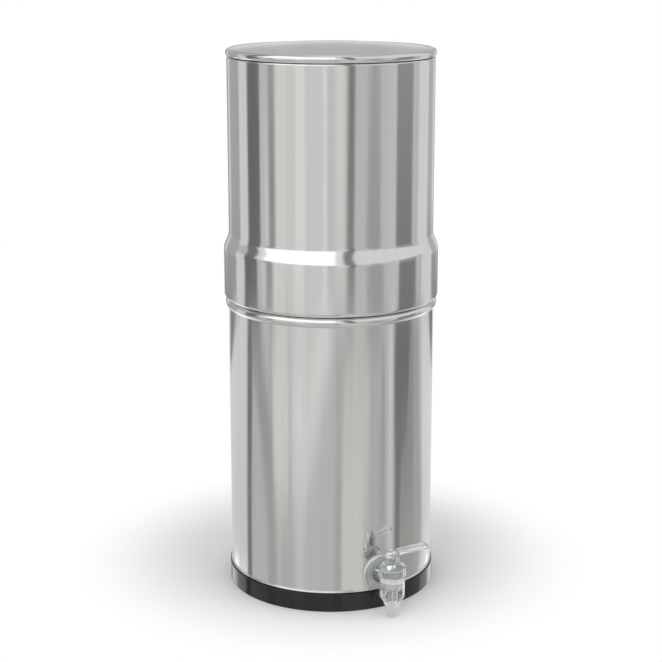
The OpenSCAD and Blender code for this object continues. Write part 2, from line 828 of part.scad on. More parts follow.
// Room for the stem's tongue between the lever's two end positions
module tongue_slot() {
    translate([0, 0, pin_z]) rotate([90, 0, 0]) linear_extrude(height = slot_w, center = true) {
        circle(r = slot_back);
        for (turn = [0, lever_tilt]) {
            rotate(turn) translate([-slot_back, -slot_depth]) square([2 * slot_back, slot_depth]);
        }
    }
}

module tap_lever() {
    dome_arc_r = arc_r(hub_d, hub_dome_h);
    hub_h = hub_side_h + hub_dome_h;
    color(clear_plastic) at_tap() difference() {
        union() {
            translate([0, 0, hub_z]) intersection() {
                cylinder(r = hub_r, h = hub_h);
                translate([0, 0, hub_h - dome_arc_r]) sphere(r = dome_arc_r);
            }
            lever_arm();
            for (i = [0 : ridge_count - 1]) {
                ridge_x = ridge_start + i * ridge_pitch;
                ridge_share = ridge_x / lever_len;
                half_w = arm_half_w(ridge_share) - ridge_margin;
                translate([ridge_x, half_w, arm_under_z(ridge_share) + lever_t]) rotate([90, 0, 0])
                    cylinder(r = ridge_r, h = 2 * half_w, $fn = 24);
            }
        }
        tongue_slot();
        cross_bar(pin_d + run_gap, hub_d + over);
    }
}

base_ring();
lower_chamber_shell();
lower_chamber_floor();
tap_body();
tap_outer_washer();
tap_inner_washer();
tap_shank_nut();
tap_bonnet();
seat_cup();
swivel_collar();
tap_stem();
lever_pin();
tap_lever();
upper_chamber_shell();
upper_chamber_floor();
candle_shell(-1);  // candle_shell_left
candle_shell(1);  // candle_shell_right
candle_core(-1);  // candle_core_left
candle_core(1);  // candle_core_right
candle_base(-1);  // candle_base_left
candle_base(1);  // candle_base_right
at_candle(-1) floor_seal(seal_od);  // candle_seal_left
at_candle(1) floor_seal(seal_od);  // candle_seal_right
at_candle(-1) wing_nut();  // candle_wing_nut_left
at_candle(1) wing_nut();  // candle_wing_nut_right
blanking_plug(-1);  // blanking_plug_front
blanking_plug(1);  // blanking_plug_back
at_plug(-1) floor_seal(plug_head_d);  // plug_seal_front
at_plug(1) floor_seal(plug_head_d);  // plug_seal_back
at_plug(-1) wing_nut();  // plug_wing_nut_front
at_plug(1) wing_nut();  // plug_wing_nut_back
lid();
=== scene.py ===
import math

import bmesh
import bpy
import numpy as np
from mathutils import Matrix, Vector


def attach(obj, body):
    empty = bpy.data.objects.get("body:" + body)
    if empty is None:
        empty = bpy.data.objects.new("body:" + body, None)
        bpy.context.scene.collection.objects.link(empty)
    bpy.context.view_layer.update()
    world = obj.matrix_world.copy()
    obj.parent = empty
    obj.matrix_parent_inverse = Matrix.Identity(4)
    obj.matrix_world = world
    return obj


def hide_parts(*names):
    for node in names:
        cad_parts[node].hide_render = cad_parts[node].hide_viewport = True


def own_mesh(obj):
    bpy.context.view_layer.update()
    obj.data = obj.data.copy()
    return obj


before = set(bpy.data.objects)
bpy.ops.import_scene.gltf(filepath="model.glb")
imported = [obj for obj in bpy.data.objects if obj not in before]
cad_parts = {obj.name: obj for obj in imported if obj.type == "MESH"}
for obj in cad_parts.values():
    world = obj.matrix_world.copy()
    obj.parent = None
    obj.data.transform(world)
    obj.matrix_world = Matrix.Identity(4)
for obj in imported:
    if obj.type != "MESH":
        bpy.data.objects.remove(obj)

mm = 0.001
scene = bpy.context.scene
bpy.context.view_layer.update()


# Camera and daylight

cameraSet = {
    "azimuth": -27.5, "elevation": 14.05, "distance": 1.65, "target": (0.0, 0.0, 0.2655),
    "lens": 86.8, "sensor": 36.0, "clip": (0.05, 40.0),
}


def addObject(name, data):
    thing = bpy.data.objects.new(name, data)
    scene.collection.objects.link(thing)
    return thing


def aimAt(thing, target):
    thing.rotation_mode = "QUATERNION"
    thing.rotation_quaternion = (Vector(target) - thing.location).to_track_quat("-Z", "Y")


def makeCamera(s):
    data = bpy.data.cameras.new("productCamera")
    data.lens = s["lens"]
    data.sensor_width = s["sensor"]
    data.clip_start, data.clip_end = s["clip"]
    camera = addObject("productCamera", data)
    around, above = math.radians(s["azimuth"]), math.radians(s["elevation"])
    back = Vector((
        math.sin(around) * math.cos(above),
        -math.cos(around) * math.cos(above),
        math.sin(above),
    ))
    camera.location = Vector(s["target"]) + back * s["distance"]
    aimAt(camera, s["target"])
    scene.camera = camera


makeCamera(cameraSet)
scene.view_settings.view_transform = "Standard"


# Node helpers

def setValue(tree, socket, value):
    if isinstance(value, bpy.types.NodeSocket):
        tree.links.new(value, socket)
    else:
        socket.default_value = value


def addNode(tree, kind, inputs=None, **options):
    # options are the node's own settings, and inputs are set or linked by name or place
    node = tree.nodes.new("ShaderNode" + kind)
    for name, value in options.items():
        setattr(node, name, value)
    for name, value in (inputs or {}).items():
        setValue(tree, node.inputs[name], value)
    return node


def mathNode(tree, operation, first, second=0.0, clamp=False):
    return addNode(tree, "Math", {0: first, 1: second}, operation=operation, use_clamp=clamp).outputs[0]


def rangeNode(tree, value, low, high, outLow=0.0, outHigh=1.0):
    limits = {"Value": value, "From Min": low, "From Max": high, "To Min": outLow, "To Max": outHigh}
    return addNode(tree, "MapRange", limits).outputs["Result"]


def mixColours(tree, share, first, second):
    # a mix node keeps its factor for colours at 0, and the two colours at 6 and 7
    return addNode(tree, "Mix", {0: share, 6: first, 7: second}, data_type="RGBA").outputs[2]


def noiseNode(tree, vector, scale, detail=2.0, rough=0.5):
    values = {"Vector": vector, "Scale": scale, "Detail": detail, "Roughness": rough}
    return addNode(tree, "TexNoise", values).outputs["Fac"]


def bumpNode(tree, height, strength, depth):
    values = {"Strength": strength, "Distance": depth, "Height": height}
    return addNode(tree, "Bump", values).outputs["Normal"]


def objectPlace(tree):
    return addNode(tree, "TexCoord").outputs["Object"]


def newTree(holder):
    holder.use_nodes = True
    holder.node_tree.nodes.clear()
    return holder.node_tree


def newGroup(name, inputs, outputs):
    group = bpy.data.node_groups.new(name, "ShaderNodeTree")
    for label, value in inputs.items():
        socket = group.interface.new_socket(name=label, in_out="INPUT", socket_type="NodeSocketFloat")
        socket.default_value = value
    for label in outputs:
        kind = "NodeSocketVector" if label == "Normal" else "NodeSocketFloat"
        group.interface.new_socket(name=label, in_out="OUTPUT", socket_type=kind)
    return group, group.nodes.new("NodeGroupInput").outputs


def closeGroup(group, **values):
    end = group.nodes.new("NodeGroupOutput")
    for name, value in values.items():
        group.links.new(value, end.inputs[name])
    return group


def placeGroup(tree, group, **inputs):
    return addNode(tree, "Group", inputs, node_tree=group).outputs


# Shared effects: drawn lines of rolled sheet, smudges, rubbed edges and moulded skin

def makeRolledGrain():
    group, given = newGroup("rolledGrain", {"Across": 900.0, "Along": 6.0, "Height": 0.1}, ("Mask", "Normal"))
    place = objectPlace(group)
    split = addNode(group, "SeparateXYZ", {"Vector": place}).outputs
    around = mathNode(group, "ARCTAN2", split["Y"], split["X"])
    flat = addNode(group, "VectorMath", {0: place, 1: (1.0, 1.0, 0.0)}, operation="MULTIPLY")
    reach = addNode(group, "VectorMath", {0: flat.outputs[0]}, operation="LENGTH").outputs["Value"]
    line = addNode(group, "CombineXYZ", {
        "X": mathNode(group, "MULTIPLY", around, given["Along"]),
        "Y": mathNode(group, "MULTIPLY", split["Z"], given["Across"]),
        "Z": mathNode(group, "MULTIPLY", reach, given["Across"]),
    })
    fine = noiseNode(group, line.outputs[0], 1.0, 3.0, 0.6)
    return closeGroup(group, Mask=fine, Normal=bumpNode(group, fine, given["Height"], 0.0001))


def makeSmudges():
    group, given = newGroup("handlingSmudges", {"Scale": 14.0, "Low": 0.1, "High": 0.2}, ("Roughness",))
    mask = rangeNode(group, noiseNode(group, objectPlace(group), given["Scale"], 4.0, 0.6), 0.4, 0.68)
    spread = mathNode(group, "SUBTRACT", given["High"], given["Low"])
    rough = mathNode(group, "ADD", given["Low"], mathNode(group, "MULTIPLY", spread, mask))
    return closeGroup(group, Roughness=rough)


def makeRubbedEdges():
    group, given = newGroup("rubbedEdges", {"From": 0.52, "To": 0.6}, ("Mask",))
    point = addNode(group, "NewGeometry").outputs["Pointiness"]
    edge = rangeNode(group, point, given["From"], given["To"])
    worn = rangeNode(group, noiseNode(group, objectPlace(group), 160.0, 3.0), 0.3, 0.6, 0.3, 1.0)
    return closeGroup(group, Mask=mathNode(group, "MULTIPLY", edge, worn, True))


def makeMouldedSkin():
    group, given = newGroup("mouldedSkin", {"Scale": 900.0, "Height": 0.1}, ("Mask", "Normal"))
    fine = noiseNode(group, objectPlace(group), given["Scale"], 3.0, 0.55)
    return closeGroup(group, Mask=fine, Normal=bumpNode(group, fine, given["Height"], 0.0003))


rolledGrain = makeRolledGrain()
handlingSmudges = makeSmudges()
rubbedEdges = makeRubbedEdges()
mouldedSkin = makeMouldedSkin()


# Sheet steel, polished outside and satin inside, and the pin's drawn steel

steelLook = {
    "polishedSteel": {
        "dull": (0.75, 0.748, 0.742, 1), "bright": (0.80, 0.795, 0.785, 1), "low": 0.10, "high": 0.145,
        "across": 1400.0, "along": 9.0, "height": 0.04, "turned": 0.45,
    },
    "satinSteel": {
        "dull": (0.60, 0.60, 0.60, 1), "bright": (0.66, 0.66, 0.655, 1), "low": 0.24, "high": 0.34,
        "across": 1100.0, "along": 7.0, "height": 0.12, "turned": 0.35,
    },
    "pinSteel": {
        "dull": (0.75, 0.748, 0.742, 1), "bright": (0.80, 0.795, 0.785, 1), "low": 0.12, "high": 0.20,
        "across": 2600.0, "along": 9.0, "height": 0.04, "turned": 0.45,
    },
}
steelWear = {
    "smudges": 11.0, "from": 0.51, "to": 0.58, "share": 0.35, "tone": (0.86, 0.86, 0.855, 1),
    "streaks": (-0.015, 0.02),
}


def makeSteel(name, s, w):
    material = bpy.data.materials.new(name)
    tree = newTree(material)
    grain = placeGroup(tree, rolledGrain, Across=s["across"], Along=s["along"], Height=s["height"])
    smudge = placeGroup(tree, handlingSmudges, Scale=w["smudges"], Low=s["low"], High=s["high"])
    edges = placeGroup(tree, rubbedEdges, From=w["from"], To=w["to"])
    tone = mixColours(tree, grain["Mask"], s["dull"], s["bright"])
    tone = mixColours(tree, mathNode(tree, "MULTIPLY", edges["Mask"], w["share"]), tone, w["tone"])
    streak = rangeNode(tree, grain["Mask"], 0.3, 0.7, *w["streaks"])
    turn = addNode(tree, "Tangent", direction_type="RADIAL", axis="Z")
    shader = addNode(tree, "BsdfPrincipled", {
        "Base Color": tone, "Roughness": mathNode(tree, "ADD", smudge["Roughness"], streak),
        "Normal": grain["Normal"], "Tangent": turn.outputs[0], "Metallic": 1.0,
        "Anisotropic": s["turned"], "Anisotropic Rotation": 0.25,
    })
    addNode(tree, "OutputMaterial", {"Surface": shader.outputs[0]})
    return material


polishedSteel, satinSteel, pinSteel = [makeSteel(name, s, steelWear) for name, s in steelLook.items()]


# Black ring, plastics, silicone, ceramic and carbon

# dark and light are the skin's tones, worn is the tone of rubbed edges or blotches with its share,
# skin is scale and height, smudge is scale with the lowest and highest roughness
tapPlastic = {
    "worn": (0.96, 0.97, 0.975), "share": 1.0, "wear": (0.54, 0.66), "skin": (420.0, 0.015),
    "shadow": (0.12, 0.125, 0.13),
}
mouldedLook = {
    "blackRing": {
        "dark": (0.008, 0.009, 0.009), "light": (0.015, 0.016, 0.0165), "worn": (0.07, 0.07, 0.07),
        "share": 0.4, "skin": (1100.0, 0.05), "smudge": (26.0, 0.05, 0.10), "shader": {"IOR": 1.52},
    },
    "clearPlastic": {
        **tapPlastic, "dark": (0.87, 0.892, 0.90), "smudge": (60.0, 0.015, 0.05),
        "shader": {"IOR": 1.49, "Transmission Weight": 0.9},
    },
    "barrelPlastic": {
        **tapPlastic, "dark": (0.89, 0.905, 0.91), "smudge": (60.0, 0.03, 0.08),
        "shader": {"IOR": 1.49, "Transmission Weight": 0.87},
    },
    "frostedPlastic": {
        **tapPlastic, "dark": (0.97, 0.975, 0.97), "smudge": (60.0, 0.12, 0.20),
        "shader": {"IOR": 1.49, "Transmission Weight": 0.36},
    },
    "whitePlastic": {
        "dark": (0.74, 0.745, 0.75), "light": (0.80, 0.80, 0.81), "worn": (0.874, 0.874, 0.885), "share": 0.5,
        "skin": (800.0, 0.08), "smudge": (40.0, 0.30, 0.42),
    },
    "whiteSilicone": {
        "dark": (0.82, 0.83, 0.83), "light": (0.88, 0.885, 0.88), "worn": (0.96, 0.966, 0.96), "share": 0.5,
        "skin": (500.0, 0.12), "smudge": (40.0, 0.42, 0.55),
        "shader": {"Subsurface Weight": 0.3, "Subsurface Scale": 0.002},
    },
    "candleCeramic": {
        "dark": (0.74, 0.69, 0.58), "light": (0.86, 0.83, 0.75), "worn": (0.9, 0.88, 0.82), "share": 0.35,
        "blotch": 34.0, "skin": (700.0, 0.5), "smudge": (22.0, 0.82, 0.95),
    },
    "pressedCarbon": {
        "dark": (0.012, 0.012, 0.013), "light": (0.04, 0.04, 0.042), "worn": (0.053, 0.053, 0.055),
        "share": 0.5, "skin": (1500.0, 0.6), "smudge": (40.0, 0.7, 0.9),
    },
}


def makeMoulded(name, s):
    material = bpy.data.materials.new(name)
    tree = newTree(material)
    skin = placeGroup(tree, mouldedSkin, Scale=s["skin"][0], Height=s["skin"][1])
    scale, low, high = s["smudge"]
    smudge = placeGroup(tree, handlingSmudges, Scale=scale, Low=low, High=high)
    if "blotch" in s:
        mask = rangeNode(tree, noiseNode(tree, objectPlace(tree), s["blotch"], 5.0, 0.65), 0.35, 0.7)
    else:
        start, full = s.get("wear", (0.53, 0.62))
        mask = placeGroup(tree, rubbedEdges, From=start, To=full)["Mask"]
    tone = mixColours(tree, skin["Mask"], (*s["dark"], 1), (*s.get("light", s["dark"]), 1))
    tone = mixColours(tree, mathNode(tree, "MULTIPLY", mask, s["share"]), tone, (*s["worn"], 1))
    surface = addNode(tree, "BsdfPrincipled", {
        "Base Color": tone, "Roughness": smudge["Roughness"], "Normal": skin["Normal"], **s.get("shader", {}),
    }).outputs[0]
    if "shadow" in s:
        # some light gets through a clear piece to the floor, without the noise of caustics
        clear = addNode(tree, "BsdfTransparent", {"Color": (*s["shadow"], 1)}).outputs[0]
        shadowRay = addNode(tree, "LightPath").outputs["Is Shadow Ray"]
        surface = addNode(tree, "MixShader", {0: shadowRay, 1: surface, 2: clear}).outputs[0]
    addNode(tree, "OutputMaterial", {"Surface": surface})
    return material


(
    blackRing, clearPlastic, barrelPlastic, frostedPlastic,
    whitePlastic, whiteSilicone, candleCeramic, pressedCarbon,
) = [makeMoulded(name, s) for name, s in mouldedLook.items()]
print("materials made")


# Mesh helpers

def arcPoints(midR, midZ, radius, start, stop, steps=18):
    turns = np.radians(np.linspace(start, stop, steps))
    return [(midR + radius * math.cos(t), midZ + radius * math.sin(t)) for t in turns]


def sideBox(inner, outer, low, high):
    return [(inner, low), (outer, low), (outer, high), (inner, high)]


def capArc(radius, rise, top, steps):
    # a dome over a disc of this radius, from its edge up to the axis
    bend = (radius ** 2 + rise ** 2) / (2 * rise)
    turn = math.degrees(math.asin(radius / bend))
    return arcPoints(0, top - bend, bend, 90 - turn, 90, steps)


def spacedPath(points, closed, step):
    # points at about even steps along the line, so that it can be softened
    line = list(points) + ([points[0]] if closed else [])
    out = []
    for (r0, z0), (r1, z1) in zip(line[:-1], line[1:]):
        count = max(1, int(math.hypot(r1 - r0, z1 - z0) / step))
        out += [(r0 + (r1 - r0) * i / count, z0 + (z1 - z0) * i / count) for i in range(count)]
    return np.array(out if closed else out + [line[-1]])


def softenPath(points, closed, radius):
    # rounds every corner by about the radius, and keeps the ends of an open line
    step = radius / 4
    line = spacedPath(points, closed, step)
    reach = 4
    weights = np.hanning(2 * reach + 3)[1:-1]
    weights /= weights.sum()
    padded = np.concatenate([line[-reach:], line, line[:reach]]) if closed else np.concatenate([
        2 * line[0] - line[reach:0:-1], line, 2 * line[-1] - line[-2:-reach - 2:-1]])
    smooth = np.stack([np.convolve(padded[:, k], weights, "valid") for k in (0, 1)], axis=1)
    if not closed:
        smooth[0], smooth[-1] = line[0], line[-1]
    return smooth


def thinPath(line, closed, error, guard):
    # drops points on straight runs, and keeps one just inside each end of a long run
    keep = [0]
    count = len(line)
    i = 0
    while i < count - 1:
        j = i + 1
        while j + 1 < count:
            a, b = line[i], line[j + 1]
            along = b - a
            length = math.hypot(*along) or 1e-9
            inside = line[i + 1:j + 1] - a
            off = np.abs(along[0] * inside[:, 1] - along[1] * inside[:, 0]) / length
            if off.max() > error:
                break
            j += 1
        keep.append(j)
        i = j
    kept = [line[k] for k in keep]
    if closed:
        kept.append(kept[0])
    out = []
    for a, b in zip(kept[:-1], kept[1:]):
        out.append(a)
        length = math.hypot(*(b - a))
        if length > 3 * guard:
            out += [a + (b - a) * guard / length, b - (b - a) * guard / length]
    return out if closed else out + [kept[-1]]


def shapePath(points, closed=True, soft=0.4, error=0.004, guard=0.25):
    line = softenPath(points, closed, soft)
    if not closed:
        line[:, 0] = np.maximum(line[:, 0], 0)
    return [tuple(p) for p in thinPath(line, closed, error, guard)]


def latheFaces(path, closed, segs, shape=None):
    # turns a line of (radius, height) in millimetres about Z, and shape may change the radius by angle
    verts, rings = [], []
    for r, z in path:
        if r < 1e-6:
            rings.append([len(verts)] * segs)
            verts.append((0, 0, z))
            continue
        rings.append(range(len(verts), len(verts) + segs))
        for i in range(segs):
            turn = 2 * math.pi * i / segs
            out = shape(turn, r, z) if shape else r
            verts.append((out * math.cos(turn), out * math.sin(turn), z))
    faces = []
    pairs = list(zip(rings[:-1], rings[1:])) + ([(rings[-1], rings[0])] if closed else [])
    for low, high in pairs:
        for i in range(segs):
            j = (i + 1) % segs
            corners = [low[i], low[j], high[j], high[i]]
            face = [c for k, c in enumerate(corners) if c != corners[k - 1]]
            if len(face) > 2:
                faces.append(face)
    return verts, faces


def gridFaces(rows, count):
    # faces between rings of count points, one ring after another
    return [
        [k * count + i, k * count + (i + 1) % count, (k + 1) * count + (i + 1) % count, (k + 1) * count + i]
        for k in range(rows - 1) for i in range(count)
    ]


def makeMesh(name, verts, faces, move=(0, 0, 0), sharp=32):
    mesh = bpy.data.meshes.new(name)
    mesh.from_pydata([tuple((c + m) * mm for c, m in zip(v, move)) for v in verts], [], faces)
    cleanMesh(mesh, sharp)
    return mesh


def cleanMesh(mesh, sharp):
    work = bmesh.new()
    work.from_mesh(mesh)
    bmesh.ops.remove_doubles(work, verts=work.verts, dist=1e-7)
    bmesh.ops.recalc_face_normals(work, faces=work.faces)
    work.to_mesh(mesh)
    work.free()
    mesh.polygons.foreach_set("use_smooth", [True] * len(mesh.polygons))
    mesh.set_sharp_from_angle(angle=math.radians(sharp))
    mesh.update()


def turned(name, path, closed, segs, move=(0, 0, 0), sharp=32, shape=None):
    verts, faces = latheFaces(path, closed, segs, shape)
    return makeMesh(name, verts, faces, move, sharp)


def placePiece(name, mesh, material, body, nodes):
    piece = addObject(name, mesh)
    mesh.materials.append(material)
    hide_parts(*nodes)
    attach(piece, body)
    return piece


def carve(mesh, tools, sharp=32):
    # joins or cuts whole meshes: tools is a list of (operation, mesh)
    base = addObject("base", mesh)
    helpers = [addObject("tool", other) for _, other in tools]
    for (operation, _), helper in zip(tools, helpers):
        modifier = base.modifiers.new("carve", "BOOLEAN")
        modifier.operation = operation
        modifier.solver = "EXACT"
        modifier.object = helper
    graph = bpy.context.evaluated_depsgraph_get()
    graph.update()
    result = bpy.data.meshes.new_from_object(base.evaluated_get(graph))
    for spare in [base] + helpers:
        bpy.data.objects.remove(spare)
    cleanMesh(result, sharp)
    return result


def alongShank(mesh, y, z):
    # lays a mesh drawn up the Z axis onto the shank's axis, from y outward
    for v in mesh.vertices:
        x, up, out = v.co
        v.co = (x, y * mm - out, z * mm + up)
    mesh.update()
    return mesh


# Lower chamber: stop bead, set-in neck with a rolled rim, foot bead and the tap's hole

sheet = 0.8
wallSegs = 288

lowerChamber = {
    "radius": 105.0, "bottom": 3.0,
    "footMid": 20.25, "footOut": 1.3, "footHigh": 2.4,
    "beadMid": 299.4, "beadOut": 2.95, "beadRadius": 5.06,
    "neckRadius": 103.6, "rimTop": 344.46, "rimRadius": 1.8, "rimTurn": 235.0,
    "tapHole": 16.2, "holeDeep": 4.0, "tapHeight": 38.0, "soft": 0.6,
}


def makeLowerShell(s):
    r, inner, neck, roll = s["radius"], s["radius"] - sheet, s["neckRadius"], s["rimRadius"]
    bead, innerBead = s["beadRadius"], s["beadRadius"] - sheet
    beadR = r + s["beadOut"] - bead
    footRadius = (s["footHigh"] ** 2 / 4 + s["footOut"] ** 2) / (2 * s["footOut"])
    footR = r + s["footOut"] - footRadius
    footTurn = math.degrees(math.asin(s["footHigh"] / 2 / footRadius))

    def beadTurn(wall, radius):
        # where the bead's arc meets a wall of this radius
        return math.degrees(math.acos((wall - beadR) / radius))

    rollR, rollZ = neck - roll, s["rimTop"] - roll
    innerLow, innerHigh = beadTurn(inner, innerBead), beadTurn(neck - sheet, innerBead)
    path = [(inner, s["bottom"]), (r, s["bottom"])]
    path += arcPoints(footR, s["footMid"], footRadius, -footTurn, footTurn)
    path += arcPoints(beadR, s["beadMid"], bead, -beadTurn(r, bead), beadTurn(neck, bead), 28)
    path += arcPoints(rollR, rollZ, roll, 0, s["rimTurn"], 26)
    path += arcPoints(rollR, rollZ, roll - sheet, s["rimTurn"], 0, 20)
    path += arcPoints(beadR, s["beadMid"], innerBead, innerHigh, -innerLow, 28)
    shell = turned("lowerShell", shapePath(path, soft=s["soft"]), True, wallSegs)
    deep = s["holeDeep"]
    cutter = turned("shankHole", sideBox(0, s["tapHole"] / 2, 0, deep), False, 64)
    return carve(shell, [("DIFFERENCE", alongShank(cutter, deep / 2 - r, s["tapHeight"]))])


placePiece("lowerChamber", makeLowerShell(lowerChamber), polishedSteel, "base",
           ["lower_chamber_shell"])
print("lower chamber made")


# Upper chamber: turned-in lip, collar, flare, tube and folded hem

upperChamber = {
    "lipZ": 304.761, "lipRadius": 3.6, "lipInner": 104.2,
    "collarRadius": 108.95, "flareZ": 354.261, "flareHigh": 17.9, "tubeRadius": 103.75,
    "mouthZ": 546.461, "hemHalf": 1.3, "hemHigh": 4.0, "soft": 0.5,
}


def makeUpperShell(s):
    collar, tube, lip, hem = s["collarRadius"], s["tubeRadius"], s["lipRadius"], s["hemHalf"]
    lipR, lipZ = collar - lip, s["lipZ"] + lip
    hemR, hemEnd = tube - hem, s["mouthZ"] - s["hemHigh"]
    shares = np.linspace(0, 1, 25)
    ease = (1 - np.cos(np.pi * shares)) / 2
    flare = [(collar + (tube - collar) * e, s["flareZ"] + s["flareHigh"] * t) for e, t in zip(ease, shares)]
    path = [(s["lipInner"], s["lipZ"] + sheet), (s["lipInner"], s["lipZ"])]
    path += arcPoints(lipR, lipZ, lip, -90, 0, 24) + flare
    path += arcPoints(hemR, s["mouthZ"] - hem, hem, 0, 180, 22)
    path += [(hemR - hem, hemEnd), (tube - sheet, hemEnd)]
    path += [(r - sheet, z) for r, z in reversed(flare)]
    path += arcPoints(lipR, lipZ, lip - sheet, 0, -90, 20)
    return turned("upperShell", shapePath(path, soft=s["soft"]), True, wallSegs)


placePiece("upperChamber", makeUpperShell(upperChamber), polishedSteel, "upper_chamber",
           ["upper_chamber_shell"])


# Lid: gently domed top, rolled rim and locating skirt

lidShape = {
    "rollRadius": 4.3, "rollR": 100.6, "rollZ": 550.764, "edgeZ": 554.464, "dome": 5.5,
    "skirtR": 100.15, "skirtZ": 539.461, "soft": 0.35,
}


def makeLid(s):
    roll, rollR, rollZ, skirt = s["rollRadius"], s["rollR"], s["rollZ"], s["skirtR"]
    under = rollZ - roll
    dome = [(rollR * t, s["edgeZ"] + s["dome"] * (1 - t * t)) for t in np.linspace(0, 1, 40)]
    path = dome[:-1] + arcPoints(rollR, rollZ, roll, 122, -97, 48)
    path += [(skirt, under), (skirt, s["skirtZ"]), (skirt - sheet, s["skirtZ"]), (skirt - sheet, under)]
    path += arcPoints(rollR, rollZ, roll, 258, 152, 24)
    path += [(r, z - sheet) for r, z in dome[-3::-1]]
    return turned("lidMesh", shapePath(path, False, soft=s["soft"]), False, wallSegs)


placePiece("domedLid", makeLid(lidShape), polishedSteel, "lid", ["lid"])
print("upper chamber and lid made")


# Base ring

baseRing = {
    "outer": 107.25, "wallInner": 105.05, "soleInner": 89.0, "sole": 3.0, "high": 19.0,
    "soft": 0.9,
}


def makeBaseRing(s):
    inner, outer, wall, sole, high = s["soleInner"], s["outer"], s["wallInner"], s["sole"], s["high"]
    path = [(inner, 0), (outer, 0), (outer, high), (wall, high), (wall, sole), (inner, sole)]
    return turned("ringMesh", shapePath(path, soft=s["soft"]), True, wallSegs)


placePiece("footRing", makeBaseRing(baseRing), blackRing, "base", ["base_ring"])


# Floors of both chambers, with their turned-up rims

floorPans = {
    "lower": {"outer": 104.15, "z": 8.0, "holes": 0.0},
    "upper": {"outer": 102.9, "z": 372.461, "holes": 12.7},
    "rimHigh": 5.0,
    "holeRing": 51.975,
    "soft": 0.7,
}


def makeFloor(s, pan, name):
    r, z, top, half = pan["outer"], pan["z"], pan["z"] + sheet, pan["holes"] / 2
    rim = top + s["rimHigh"]
    path = [(0, z), (r, z), (r, rim), (r - sheet, rim), (r - sheet, top), (0, top)]
    floor = turned(name, shapePath(path, False, soft=s["soft"]), False, 192)
    if not half:
        return floor
    cuts = []
    for quarter in range(4):
        turn = math.pi / 2 * quarter
        middle = (s["holeRing"] * math.cos(turn), s["holeRing"] * math.sin(turn), z - 1)
        cuts.append(("DIFFERENCE", turned("floorHole", sideBox(0, half, 0, 3), False, 48, middle)))
    return carve(floor, cuts)


placePiece("lowerFloor", makeFloor(floorPans, floorPans["lower"], "lowerPan"), satinSteel,
           "base", ["lower_chamber_floor"])
placePiece("upperFloor", makeFloor(floorPans, floorPans["upper"], "upperPan"), satinSteel,
           "upper_chamber", ["upper_chamber_floor"])
print("ring and floors made")


# Tap body: ribbed nozzle, taper, octagonal barrel, band and neck, with the side arm, flange and shank

tapBody = {
    "axisY": -132.0, "shankZ": 38.0,
    "nozzleZ": 2.5, "nozzleCore": 4.9, "ribs": 14, "rib": 0.8,
    "taperZ": 10.0, "taperLow": 6.0, "taperHigh": 9.6,
    "octagonZ": 18.0, "octagonTop": 41.0, "flat": 11.9, "corner": 12.88,
    "facetSoft": 0.1, "lowCut": 4.4, "highCut": 4.0,
    "frostLow": 18.4, "frostHigh": 38.4,
    "band": 11.5, "bandTop": 44.6, "neck": 10.8, "neckTop": 50.6,
    # the neck's thread shows through the bonnet
    "neckTurns": 5, "neckPitch": 1.1, "neckThread": 0.5,
    "outlet": 3.8, "seat": 6.0, "seatZ": 31.5, "seatLip": 0.4, "ease": 0.3, "chamber": 8.3, "chamberZ": 30.0,
    "flangeY": -107.5, "flange": 17.0, "flangeThick": 3.2, "flangeRim": 1.5, "flangeDish": 1.4,
    "armRoot": 10.0, "armFlare": 4.5, "arm": 6.4,
    "shank": 7.8, "shankEnd": 25.3, "shankChamfer": 1.2, "shankPitch": 1.6, "shankThread": 0.6, "bore": 4.2,
}


tapAxis = (0, tapBody["axisY"], 0)


def barrelShape(s):
    def radius(turn, r, z):
        if z <= s["taperZ"] and r > s["nozzleCore"] - 0.2:
            gap = 2 * math.pi / s["ribs"]
            near = (turn + gap / 2) % gap - gap / 2
            side = s["nozzleCore"] * math.sin(near)
            if abs(side) >= s["rib"]:
                return r
            return max(r, s["nozzleCore"] * math.cos(near) + math.sqrt(s["rib"] ** 2 - side ** 2))
        if s["octagonZ"] - 0.01 <= z <= s["octagonTop"] + 0.01:
            eighth = math.pi / 4
            near = (turn + eighth / 2) % eighth - eighth / 2
            flat = s["flat"] / math.cos(near)
            low = s["taperHigh"] + (z - s["octagonZ"]) * (s["corner"] - s["taperHigh"]) / s["lowCut"]
            high = s["band"] + (s["octagonTop"] - z) * (s["corner"] - s["band"]) / s["highCut"]
            # the smallest of the four, with its edges a little rounded
            total = sum(math.exp(-v / s["facetSoft"]) for v in (flat, low, high, s["corner"] - 0.12))
            return -s["facetSoft"] * math.log(total)
        return r
    return radius


